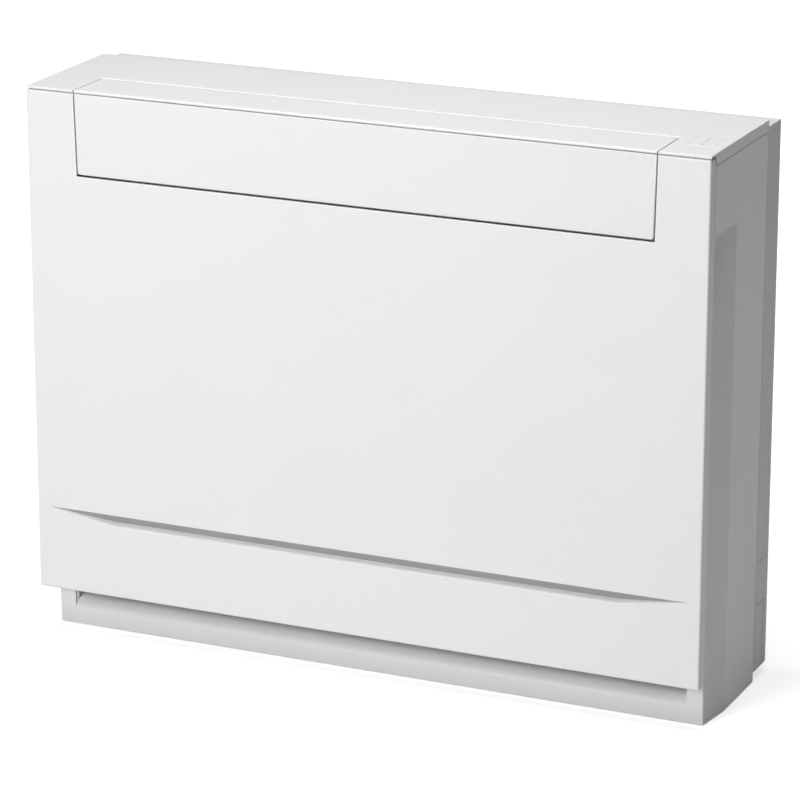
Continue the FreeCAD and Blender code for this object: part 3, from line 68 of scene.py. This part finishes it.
# Studio: a pale floor, a soft key lamp low at the front, softboxes overhead and behind, and an even fill.
FLOOR_HALF = 14.0
FLOOR_GLOW = 0.62
FAR_FLOOR_GLOW = 0.95
FLOOR_GLOW_NEAR = 0.5
FLOOR_GLOW_FAR = 1.6
FLOOR_PAINT = 0.8
FLOOR_BOUNCE = 0.56
FILL_STRENGTH = 0.06
KEY_AIM = Vector((0, -0.1, 0.3))
KEY_DISTANCE = 3.6
KEY_TURN = math.radians(-15)
KEY_RISE = math.radians(18)
KEY_SIZE = 1.0
KEY_POWER = 76
OVERHEAD_PLACE = Vector((0.1, -0.45, 2.7))
OVERHEAD_SIZE = 1.4
OVERHEAD_POWER = 48
REAR_PLACE = Vector((-0.4, 3.9, 0.3))
REAR_SIZE = 0.6
REAR_POWER = 60

# Finishes: scales are features per metre, tones are shares of the colour, and relief is in metres.
WHITE = (0.86, 0.865, 0.875)
CHASSIS_TONE = 0.96
# The grey of the groove's roof is painted shade, darker than the white shell around it.
GROOVE_PAINTED_SHADE = (0.38, 0.383, 0.39)
GROOVE_ROUGHNESS = 0.6
LENS_GREY = (0.5, 0.51, 0.53)
LENS_ROUGHNESS = 0.2
PLASTIC_GLOSS = 0.3
NOISE_DETAIL = 2
CLOUD_SCALE = 6
CLOUD_TONES = (0.985, 1.015)
GRAIN_SCALE = 900
GRAIN_STRENGTH = 0.3
GRAIN_RELIEF = 0.00002
STREAK_SCALE = 300
STREAK_DETAIL = 3
STREAK_TONES = (0.88, 1.1)
STREAK_STRENGTH = 0.2
STREAK_RELIEF = 0.00005
NET_PITCH = 0.0025
NET_TONES = (1.35, 0.45)
NET_ROUGHNESS = 0.6
NET_STRENGTH = 0.5
NET_RELIEF = -0.0004
TRACK_SCALE = 90
TRACK_TONES = (1.7, 1)
BOARD_ROUGHNESS = 0.4

# How CAD copies are cleaned, rounded and shaded. The largest smooth face is in square metres.
MERGE_GAP = 1e-5
SAME_PLACE = 2e-4
FLAT_ANGLE = math.radians(1)
SHARP_ANGLE = math.radians(35)
EDGE_SEGMENTS = 3
PANEL_EDGE_ROUND = 0.0018
NOTCH_EDGE_ROUND = 0.0008
FLAP_EDGE_ROUND = 0.0010
COVER_EDGE_ROUND = 0.0006
SEAM_EDGE_ROUND = 0.0005
CASING_EDGE_ROUND = 0.0014
CHASSIS_EDGE_ROUND = 0.0012
SHORTEST_ROUNDED_EDGE = 0.008
LARGEST_SMOOTH_FACE = 0.004

# Places on the shell, as the solids have them.
GROOVE_TOP = 0.143
GROOVE_HEIGHT = 0.013
GROOVE_DEPTH = 0.0055
GROOVE_HALF = 0.36
NOTCH_FLOOR = 0.5086
NOTCH_HALF = 0.3206
MOUTH_HALF = 0.3506
PLINTH_TOP = 0.054
TOE_FRONT = -0.0705
LIP_FOOT = 0.017
LIP_ROUND = 0.010
FACET_INSET = 0.0064

# How the groove, the outlet's lip and the shutter's rim are drawn out from there.
GROOVE_DEEPER = 1.33
GROOVE_TILT = 0.2
LIP_RUN = 0.043
LIP_RISE = 0.017
LIP_SWEEP = 75 / 90
SHUTTER_RIM = 0.006
SHUTTER_TRIM = 0.010

# Indicator window in the right front corner of the top cover.
WINDOW_LEFT = 0.334
WINDOW_RIGHT = 0.364
WINDOW_FRONT = -0.068
WINDOW_REAR = -0.026
WINDOW_SEAM = 0.0006
WINDOW_SEAM_DEPTH = 0.0005
LAMP_COUNT = 4
LAMP_WIDTH = 0.0052
LAMP_LENGTH = 0.0026
LAMP_DEPTH = 0.0003

# Cross recess of the casing screws.
SCREW_HEAD_RADIUS = 0.004
SCREW_ARM = 0.0024
SCREW_SLOT = 0.0006
SCREW_RECESS = 0.0010
SCREW_EDGE_ROUND = 0.0006


def new_material(name):
    """An empty node material with its main shader."""
    material = bpy.data.materials.new(name)
    material.use_nodes = True
    return material, material.node_tree, material.node_tree.nodes["Principled BSDF"]


def object_noise(tree, scale, detail=NOISE_DETAIL, stretch=(1, 1, 1)):
    """Noise fixed to the piece, with features about one over the scale in metres."""
    place = tree.nodes.new("ShaderNodeTexCoord")
    mapping = tree.nodes.new("ShaderNodeMapping")
    mapping.inputs["Scale"].default_value = stretch
    noise = tree.nodes.new("ShaderNodeTexNoise")
    noise.inputs["Scale"].default_value = scale
    noise.inputs["Detail"].default_value = detail
    tree.links.new(place.outputs["Object"], mapping.inputs["Vector"])
    tree.links.new(mapping.outputs["Vector"], noise.inputs["Vector"])
    return noise


def shade(colour, tone):
    """The colour made lighter or darker."""
    return tuple(min(1, channel * tone) for channel in colour)


def blend_tones(tree, driver, colour, tones):
    """A colour between two tones of it, by how strong the driver is."""
    ramp = tree.nodes.new("ShaderNodeValToRGB")
    for stop, tone in zip(ramp.color_ramp.elements, tones):
        stop.color = (*shade(colour, tone), 1)
    tree.links.new(driver, ramp.inputs["Fac"])
    return ramp.outputs["Color"]


def combine(tree, operation, first, second):
    """The result of a sum on an output and a second output or number."""
    node = tree.nodes.new("ShaderNodeMath")
    node.operation = operation
    tree.links.new(first, node.inputs[0])
    if isinstance(second, bpy.types.NodeSocket):
        tree.links.new(second, node.inputs[1])
    else:
        node.inputs[1].default_value = second
    return node.outputs["Value"]


def add_bump(tree, shader, height, strength, distance):
    """Surface relief from a height."""
    bump = tree.nodes.new("ShaderNodeBump")
    bump.inputs["Strength"].default_value = strength
    bump.inputs["Distance"].default_value = distance
    tree.links.new(height, bump.inputs["Height"])
    tree.links.new(bump.outputs["Normal"], shader.inputs["Normal"])


def moulded_plastic(name, colour, roughness):
    """Moulded plastic: a faint cloudiness in the colour and a fine spark-eroded grain."""
    material, tree, shader = new_material(name)
    cloud = object_noise(tree, CLOUD_SCALE)
    tint = blend_tones(tree, cloud.outputs["Fac"], colour, CLOUD_TONES)
    tree.links.new(tint, shader.inputs["Base Color"])
    shader.inputs["Roughness"].default_value = roughness
    shader.inputs["Specular IOR Level"].default_value = PLASTIC_GLOSS
    grain = object_noise(tree, GRAIN_SCALE)
    add_bump(tree, shader, grain.outputs["Fac"], GRAIN_STRENGTH, GRAIN_RELIEF)
    return material


def drawn_metal(name, colour, roughness, stretch):
    """Rolled or drawn metal: fine streaks along one direction."""
    material, tree, shader = new_material(name)
    streaks = object_noise(tree, STREAK_SCALE, STREAK_DETAIL, stretch)
    tint = blend_tones(tree, streaks.outputs["Fac"], colour, STREAK_TONES)
    tree.links.new(tint, shader.inputs["Base Color"])
    shader.inputs["Metallic"].default_value = 1
    shader.inputs["Roughness"].default_value = roughness
    add_bump(tree, shader, streaks.outputs["Fac"], STREAK_STRENGTH, STREAK_RELIEF)
    return material


def filter_net(name, colour):
    """Filter plastic with the woven net drawn as crossing strands."""
    material, tree, shader = new_material(name)
    place = tree.nodes.new("ShaderNodeTexCoord")
    split = tree.nodes.new("ShaderNodeSeparateXYZ")
    tree.links.new(place.outputs["Object"], split.inputs["Vector"])
    half_pitch = NET_PITCH / 2
    across, up = (combine(tree, "PINGPONG", split.outputs[axis], half_pitch) for axis in ("X", "Z"))
    hole = combine(tree, "MULTIPLY", combine(tree, "MINIMUM", across, up), 1 / half_pitch)
    tree.links.new(blend_tones(tree, hole, colour, NET_TONES), shader.inputs["Base Color"])
    shader.inputs["Roughness"].default_value = NET_ROUGHNESS
    add_bump(tree, shader, hole, NET_STRENGTH, NET_RELIEF)
    return material


def circuit_laminate(name, colour):
    """Circuit board: solder mask over copper tracks, which show as paler lines."""
    material, tree, shader = new_material(name)
    place = tree.nodes.new("ShaderNodeTexCoord")
    tracks = tree.nodes.new("ShaderNodeTexVoronoi")
    tracks.distance = "MANHATTAN"
    tracks.feature = "DISTANCE_TO_EDGE"
    tracks.inputs["Scale"].default_value = TRACK_SCALE
    tree.links.new(place.outputs["Object"], tracks.inputs["Vector"])
    tint = blend_tones(tree, tracks.outputs["Distance"], colour, TRACK_TONES)
    tree.links.new(tint, shader.inputs["Base Color"])
    shader.inputs["Roughness"].default_value = BOARD_ROUGHNESS
    return material


def make_finishes():
    """One material for each slot of the record."""
    return {
        "white_shell": moulded_plastic("white_shell_plastic", WHITE, 0.4),
        "white_chassis": moulded_plastic("white_chassis_plastic", shade(WHITE, CHASSIS_TONE), 0.5),
        "duct_plastic": moulded_plastic("grey_duct_plastic", (0.42, 0.43, 0.44), 0.6),
        "vane_plastic": moulded_plastic("pale_vane_plastic", (0.66, 0.665, 0.67), 0.5),
        "fan_plastic": moulded_plastic("dark_fan_plastic", (0.06, 0.065, 0.075), 0.45),
        "steel": drawn_metal("screw_steel", (0.62, 0.62, 0.62), 0.3, (1, 8, 1)),
        "brass": drawn_metal("union_brass", (0.78, 0.58, 0.26), 0.28, (1, 6, 1)),
        "motor_paint": moulded_plastic("motor_resin", (0.55, 0.55, 0.53), 0.45),
        "galvanised": drawn_metal("zinc_plate", (0.66, 0.67, 0.69), 0.42, (1, 1, 0.2)),
        "fin_aluminium": drawn_metal("fin_aluminium", (0.78, 0.8, 0.83), 0.38, (6, 1, 0.1)),
        "copper": drawn_metal("pipe_copper", (0.8, 0.45, 0.3), 0.3, (0.3, 1, 1)),
        "box_plastic": moulded_plastic("box_plastic", (0.64, 0.64, 0.62), 0.5),
        "board_green": circuit_laminate("board_laminate", (0.02, 0.12, 0.045)),
        "dark_plastic": moulded_plastic("terminal_plastic", (0.03, 0.03, 0.03), 0.5),
        "button_grey": moulded_plastic("button_plastic", (0.35, 0.37, 0.4), 0.4),
        "filter_plastic": filter_net("filter_net", (0.13, 0.15, 0.18)),
    }


def dress_nodes():
    """Puts each CAD node's finish on it."""
    for node, piece in NODES.items():
        piece.data.materials.clear()
        piece.data.materials.append(FINISHES[SLOT_OF_NODE[node]])


def merged_shape(node):
    """A copy of a CAD node's mesh, with its triangles joined and its flat faces made whole."""
    shape = bmesh.new()
    shape.from_mesh(NODES[node].data)
    bmesh.ops.remove_doubles(shape, verts=shape.verts, dist=MERGE_GAP)
    bmesh.ops.dissolve_limit(shape, angle_limit=FLAT_ANGLE, verts=shape.verts, edges=shape.edges)
    return shape


def round_edges(shape, radius, wanted):
    """Rounds the sharp outer edges that pass a test of the edge and its two ends."""
    edges = []
    for edge in shape.edges:
        if len(edge.link_faces) == 2 and edge.is_convex and edge.calc_face_angle() > SHARP_ANGLE:
            if wanted(edge, [corner.co for corner in edge.verts]):
                edges.append(edge)
    bmesh.ops.bevel(shape, geom=edges, offset=radius, offset_type="OFFSET", segments=EDGE_SEGMENTS,
                    profile=0.5, affect="EDGES", clamp_overlap=False, material=-1)


def finish_piece(shape, name, node, *more_finishes, smooth_up_to=LARGEST_SMOOTH_FACE):
    """Makes a shape the visible piece for a CAD node, large faces flat and rounded edges smooth."""
    mesh = bpy.data.meshes.new(name)
    shape.to_mesh(mesh)
    shape.free()
    for polygon in mesh.polygons:
        polygon.use_smooth = True
    mesh.set_sharp_from_angle(angle=SHARP_ANGLE)
    for polygon in mesh.polygons:
        if polygon.area > smooth_up_to:
            for corner in polygon.loop_indices:
                mesh.edges[mesh.loops[corner].edge_index].use_edge_sharp = True
    for finish in (FINISHES[SLOT_OF_NODE[node]], *more_finishes):
        mesh.materials.append(finish)
    piece = bpy.data.objects.new(name, mesh)
    bpy.context.scene.collection.objects.link(piece)
    normals = piece.modifiers.new("flat_faces_stay_flat", "WEIGHTED_NORMAL")
    normals.keep_sharp = True
    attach(piece, BODY_OF_NODE[node])
    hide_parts(node)


def same(first, second):
    """Whether two coordinates are the same place."""
    return abs(first - second) < SAME_PLACE


def level(ends, axis, value):
    """Whether the ends of an edge, or the corners of a face, all lie at one coordinate."""
    return all(same(corner[axis], value) for corner in ends)


def looks_out(edge, middle):
    """Whether both faces of an edge look away from the middle of its piece."""
    return all(face.normal.dot(face.calc_center_median() - middle) > 0 for face in edge.link_faces)


def make_front_panel():
    """The panel, with a soft outer rim, a finer one round the flap, and a deeper groove whose roof has painted
    shade.
    """
    shape = merged_shape("front_panel")
    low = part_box("front_panel")[0]

    def in_groove(ends):
        return all(GROOVE_TOP - GROOVE_HEIGHT - SAME_PLACE < corner.z < GROOVE_TOP + SAME_PLACE
                   for corner in ends)

    def at_notch(ends):
        return all(corner.z > NOTCH_FLOOR - SAME_PLACE and abs(corner.x) < NOTCH_HALF + SAME_PLACE
                   for corner in ends)

    def outer_rim(edge, ends):
        return level(ends, Y, low.y) and not in_groove(ends) and not at_notch(ends)

    def notch_rim(edge, ends):
        return level(ends, Y, low.y) and at_notch(ends)

    for corner in shape.verts:
        depth = corner.co.y - low.y
        in_front = abs(corner.co.x) < GROOVE_HALF and depth < GROOVE_DEPTH + SAME_PLACE
        if in_front and in_groove([corner.co]):
            corner.co.y = low.y + depth * GROOVE_DEEPER
    round_edges(shape, PANEL_EDGE_ROUND, outer_rim)
    round_edges(shape, NOTCH_EDGE_ROUND, notch_rim)
    shape.normal_update()
    # The groove's down-facing roof takes the second finish, a grey of painted shade.
    for face in shape.faces:
        looks_down = face.normal.z < -GROOVE_TILT and face.normal.y < 0
        if looks_down and in_groove([corner.co for corner in face.verts]):
            face.material_index = SECOND_FINISH
    # Plastic in the grey of painted shade, for the groove's roof.
    painted_groove_shade = moulded_plastic("painted_shade_groove_plastic", GROOVE_PAINTED_SHADE, GROOVE_ROUGHNESS)
    finish_piece(shape, "front_panel_moulding", "front_panel", painted_groove_shade)


def make_flaps():
    """The two flaps of the upper outlet, with soft rims."""
    shape = merged_shape("front_flap")
    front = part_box("front_flap")[0].y
    round_edges(shape, FLAP_EDGE_ROUND, lambda edge, ends: level(ends, Y, front))
    finish_piece(shape, "front_flap_moulding", "front_flap")
    shape = merged_shape("top_flap")
    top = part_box("top_flap")[1].z
    round_edges(shape, FLAP_EDGE_ROUND, lambda edge, ends: level(ends, Z, top))
    finish_piece(shape, "top_flap_moulding", "top_flap")


def flat_faces(shape, axis, value, wanted=lambda spot: True):
    """The faces that lie at one coordinate, and whose middles pass a test."""
    return [face for face in shape.faces
            if level([corner.co for corner in face.verts], axis, value) and wanted(face.calc_center_median())]


def cut_faces(shape, faces, axis, value):
    """Cuts faces along a plane across one axis."""
    edges = list(dict.fromkeys(edge for face in faces for edge in face.edges))
    corners = list(dict.fromkeys(corner for face in faces for corner in face.verts))
    normal = Vector((0, 0, 0))
    normal[axis] = 1
    bmesh.ops.bisect_plane(shape, geom=faces + edges + corners, dist=MERGE_GAP, plane_co=normal * value,
                           plane_no=normal)


def sink_faces(shape, faces, move, finish):
    """Moves faces into a shape, with walls round them, and gives them a finish."""
    for face in faces:
        face.material_index = finish
    made = bmesh.ops.extrude_face_region(shape, geom=faces)["geom"]
    corners = [item for item in made if isinstance(item, bmesh.types.BMVert)]
    bmesh.ops.translate(shape, vec=move, verts=corners)
    bmesh.ops.delete(shape, geom=faces, context="FACES_ONLY")


def make_top_cover():
    """The cover, with rounded rims, a fine seam under its skirt, and the indicator window with its lamps."""
    shape = merged_shape("top_cover")
    low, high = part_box("top_cover")

    def skirt_foot(edge, ends):
        return level(ends, Z, low.z) and (level(ends, X, low.x) or level(ends, X, high.x))

    round_edges(shape, COVER_EDGE_ROUND, lambda edge, ends: level(ends, Z, high.z))
    round_edges(shape, SEAM_EDGE_ROUND, skirt_foot)

    lamp_pitch = (WINDOW_REAR - WINDOW_FRONT) / (LAMP_COUNT + 1)
    lamp_places = [WINDOW_FRONT + lamp_pitch * (index + 1) for index in range(LAMP_COUNT)]
    middle = (WINDOW_LEFT + WINDOW_RIGHT) / 2
    for across in (WINDOW_LEFT, WINDOW_LEFT + WINDOW_SEAM, middle - LAMP_WIDTH / 2, middle + LAMP_WIDTH / 2,
                   WINDOW_RIGHT - WINDOW_SEAM, WINDOW_RIGHT):
        cut_faces(shape, flat_faces(shape, Z, high.z), X, across)
    cuts_along = [WINDOW_FRONT, WINDOW_FRONT + WINDOW_SEAM, WINDOW_REAR - WINDOW_SEAM, WINDOW_REAR]
    for place in lamp_places:
        cuts_along += [place - LAMP_LENGTH / 2, place + LAMP_LENGTH / 2]
    for along in cuts_along:
        cut_faces(shape, flat_faces(shape, Z, high.z), Y, along)

    def inside(spot, margin):
        return (WINDOW_LEFT + margin < spot.x < WINDOW_RIGHT - margin
                and WINDOW_FRONT + margin < spot.y < WINDOW_REAR - margin)

    def on_seam(spot):
        return inside(spot, 0) and not inside(spot, WINDOW_SEAM)

    def on_lamp(spot):
        return abs(spot.x - middle) < LAMP_WIDTH / 2 and any(
            abs(spot.y - place) < LAMP_LENGTH / 2 for place in lamp_places)

    sink_faces(shape, flat_faces(shape, Z, high.z, on_seam), (0, 0, -WINDOW_SEAM_DEPTH), MAIN_FINISH)
    sink_faces(shape, flat_faces(shape, Z, high.z, on_lamp), (0, 0, -LAMP_DEPTH), SECOND_FINISH)
    lens = moulded_plastic("lamp_lens", LENS_GREY, LENS_ROUGHNESS)
    finish_piece(shape, "top_cover_moulding", "top_cover", lens)


def make_casing():
    """The front casing with its outer corners, floor rim, facets and outlet mouth rounded."""
    shape = merged_shape("front_casing")
    low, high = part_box("front_casing")
    middle = (low + high) / 2
    base_half = high.x - FACET_INSET

    def outside(edge, ends):
        long_enough = (ends[0] - ends[1]).length > SHORTEST_ROUNDED_EDGE
        at_side = all(abs(corner.x) > base_half - SAME_PLACE for corner in ends)
        return long_enough and looks_out(edge, middle) and (at_side or level(ends, Z, low.z))

    def mouth(edge, ends):
        upright = all(same(abs(corner.x), MOUTH_HALF) and corner.z < PLINTH_TOP for corner in ends)
        on_front = same(ends[0].y, ends[1].y) and ends[0].y < middle.y
        return upright and on_front and same(ends[0].x, ends[1].x)

    round_edges(shape, CASING_EDGE_ROUND, outside)
    round_edges(shape, SEAM_EDGE_ROUND, mouth)
    finish_piece(shape, "front_casing_moulding", "front_casing")


def make_rear_chassis():
    """The rear chassis, rounded along the edges of its box."""
    shape = merged_shape("rear_chassis")
    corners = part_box("rear_chassis")

    def box_edge(edge, ends):
        return sum(level(ends, axis, corner[axis]) for axis in (X, Y, Z) for corner in corners) > 1

    round_edges(shape, CHASSIS_EDGE_ROUND, box_edge)
    finish_piece(shape, "rear_chassis_moulding", "rear_chassis")


def make_lower_outlet_frame():
    """The lower outlet's frame, its lip drawn out to one long soft curve from the plinth to the duct."""
    shape = merged_shape("lower_outlet_frame")
    for corner in shape.verts:
        back = TOE_FRONT + LIP_ROUND - corner.co.y
        up = corner.co.z - LIP_FOOT
        inset = LIP_ROUND - math.hypot(back, up)
        if min(back, up) > -SAME_PLACE and inset > -SAME_PLACE and same(abs(corner.co.x), MOUTH_HALF):
            turn = math.atan2(up, back) * LIP_SWEEP
            corner.co.y = TOE_FRONT + inset + (LIP_RUN - inset) * (1 - math.cos(turn))
            corner.co.z = LIP_FOOT + (LIP_RISE - inset) * math.sin(turn)
    finish_piece(shape, "lower_outlet_lip", "lower_outlet_frame", smooth_up_to=math.inf)


def make_lower_shutter():
    """The lower shutter, with its lower rim drawn up behind the panel's lower edge."""
    shape = merged_shape("lower_shutter")
    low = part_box("lower_shutter")[0]
    for corner in shape.verts:
        if corner.co.z < low.z + SHUTTER_RIM:
            corner.co.z += SHUTTER_TRIM
    finish_piece(shape, "lower_shutter_blade", "lower_shutter")


def make_smooth_nodes():
    """Curved pieces that show when the unit is open, with their facets shaded smooth."""
    for node in ("lower_duct", "upper_outlet_box", "auto_button",
                 "gas_union", "liquid_union", "gas_pipe", "liquid_pipe"):
        finish_piece(merged_shape(node), node + "_smooth", node, smooth_up_to=math.inf)


def sink_cross(shape, centre):
    """Sinks a cross into the flat screw head round a centre."""

    def on_head(spot):
        return (spot - centre).length < SCREW_HEAD_RADIUS

    def on_cross(spot):
        wide, tall = abs(spot.x - centre.x), abs(spot.z - centre.z)
        return max(wide, tall) < SCREW_ARM and min(wide, tall) < SCREW_SLOT

    for axis in (X, Z):
        for reach in (-SCREW_ARM, -SCREW_SLOT, SCREW_SLOT, SCREW_ARM):
            cut_faces(shape, flat_faces(shape, Y, centre.y, on_head), axis, centre[axis] + reach)
    sink_faces(shape, flat_faces(shape, Y, centre.y, on_cross), (0, SCREW_RECESS, 0), MAIN_FINISH)


def make_screws():
    """The casing screws: rounded heads with a cross recess."""
    shape = merged_shape("casing_screws")
    low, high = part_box("casing_screws")
    round_edges(shape, SCREW_EDGE_ROUND, lambda edge, ends: level(ends, Y, low.y))
    for across in (low.x + SCREW_HEAD_RADIUS, high.x - SCREW_HEAD_RADIUS):
        for up in (low.z + SCREW_HEAD_RADIUS, high.z - SCREW_HEAD_RADIUS):
            sink_cross(shape, Vector((across, low.y, up)))
    finish_piece(shape, "casing_screws_crossed", "casing_screws")


def mix_light_paths(tree, *outputs):
    """One for a ray of any of the named kinds, else zero."""
    path = tree.nodes.new("ShaderNodeLightPath")
    found = path.outputs[outputs[0]]
    for output in outputs[1:]:
        found = combine(tree, "MAXIMUM", found, path.outputs[output])
    return found


def matt_paint(tree, tone):
    """A matt grey shader."""
    paint = tree.nodes.new("ShaderNodeBsdfDiffuse")
    paint.inputs["Color"].default_value = (tone, tone, tone, 1)
    return paint.outputs["BSDF"]


def make_floor():
    """Floor seen as white with the object's shadow, which lights the object as a duller floor does."""
    material, tree, shader = new_material("studio_floor")
    tree.nodes.remove(shader)
    seen = mix_light_paths(tree, "Is Camera Ray", "Is Glossy Ray", "Is Transmission Ray")
    glow = tree.nodes.new("ShaderNodeEmission")
    glow.inputs["Color"].default_value = (1, 1, 1, 1)
    place = tree.nodes.new("ShaderNodeTexCoord")
    reach = tree.nodes.new("ShaderNodeVectorMath")
    reach.operation = "LENGTH"
    tree.links.new(place.outputs["Object"], reach.inputs[0])
    strength = tree.nodes.new("ShaderNodeMapRange")
    strength.interpolation_type = "SMOOTHSTEP"
    strength.inputs["From Min"].default_value = FLOOR_GLOW_NEAR
    strength.inputs["From Max"].default_value = FLOOR_GLOW_FAR
    strength.inputs["To Min"].default_value = FLOOR_GLOW
    strength.inputs["To Max"].default_value = FAR_FLOOR_GLOW
    tree.links.new(reach.outputs["Value"], strength.inputs["Value"])
    tree.links.new(strength.outputs["Result"], glow.inputs["Strength"])
    both = tree.nodes.new("ShaderNodeAddShader")
    tree.links.new(matt_paint(tree, FLOOR_PAINT), both.inputs[0])
    tree.links.new(glow.outputs["Emission"], both.inputs[1])
    choice = tree.nodes.new("ShaderNodeMixShader")
    tree.links.new(seen, choice.inputs["Fac"])
    tree.links.new(matt_paint(tree, FLOOR_BOUNCE), choice.inputs[1])
    tree.links.new(both.outputs["Shader"], choice.inputs[2])
    tree.links.new(choice.outputs["Shader"], tree.nodes["Material Output"].inputs["Surface"])

    shape = bmesh.new()
    bmesh.ops.create_grid(shape, x_segments=1, y_segments=1, size=FLOOR_HALF)
    mesh = bpy.data.meshes.new("studio_floor")
    shape.to_mesh(mesh)
    shape.free()
    mesh.materials.append(material)
    floor = bpy.data.objects.new("studio_floor", mesh)
    bpy.context.scene.collection.objects.link(floor)


def make_lamp(name, place, aim, size, power):
    """A square softbox that faces a point."""
    lamp = bpy.data.lights.new(name, "AREA")
    lamp.size = size
    lamp.energy = power
    holder = bpy.data.objects.new(name, lamp)
    holder.location = place
    holder.rotation_euler = (aim - place).to_track_quat("-Z", "Y").to_euler()
    bpy.context.scene.collection.objects.link(holder)


def make_light():
    """An even fill that the camera sees as white, the key lamp, and softboxes overhead and behind."""
    world = bpy.data.worlds.new("studio")
    bpy.context.scene.world = world
    world.use_nodes = True
    tree = world.node_tree
    background = tree.nodes["Background"]
    background.inputs["Color"].default_value = (1, 1, 1, 1)
    strength = tree.nodes.new("ShaderNodeMapRange")
    strength.inputs["To Min"].default_value = FILL_STRENGTH
    strength.inputs["To Max"].default_value = 1
    tree.links.new(mix_light_paths(tree, "Is Camera Ray", "Is Transmission Ray"), strength.inputs["Value"])
    tree.links.new(strength.outputs["Result"], background.inputs["Strength"])

    level_reach = KEY_DISTANCE * math.cos(KEY_RISE)
    offset = Vector((level_reach * math.sin(KEY_TURN), -level_reach * math.cos(KEY_TURN),
                     KEY_DISTANCE * math.sin(KEY_RISE)))
    make_lamp("key_light", KEY_AIM + offset, KEY_AIM, KEY_SIZE, KEY_POWER)
    below = Vector((OVERHEAD_PLACE.x, OVERHEAD_PLACE.y, 0))
    make_lamp("overhead_light", OVERHEAD_PLACE, below, OVERHEAD_SIZE, OVERHEAD_POWER)
    make_lamp("rear_light", REAR_PLACE, KEY_AIM, REAR_SIZE, REAR_POWER)


def make_camera():
    """The photograph's viewpoint."""
    data = bpy.data.cameras.new("camera")
    data.sensor_width = SENSOR_WIDTH_MM
    data.lens = FOCAL_LENGTH_PX / IMAGE_WIDTH_PX * SENSOR_WIDTH_MM
    camera = bpy.data.objects.new("camera", data)
    camera.location = CAMERA_PLACE
    camera.rotation_euler = (math.pi / 2 - CAMERA_PITCH, 0, CAMERA_YAW)
    bpy.context.scene.collection.objects.link(camera)
    bpy.context.scene.camera = camera


FINISHES = make_finishes()
dress_nodes()
make_front_panel()
make_flaps()
make_top_cover()
make_casing()
make_rear_chassis()
make_lower_outlet_frame()
make_lower_shutter()
make_smooth_nodes()
make_screws()
make_floor()
make_light()
make_camera()
bpy.context.scene.view_settings.view_transform = "Standard"
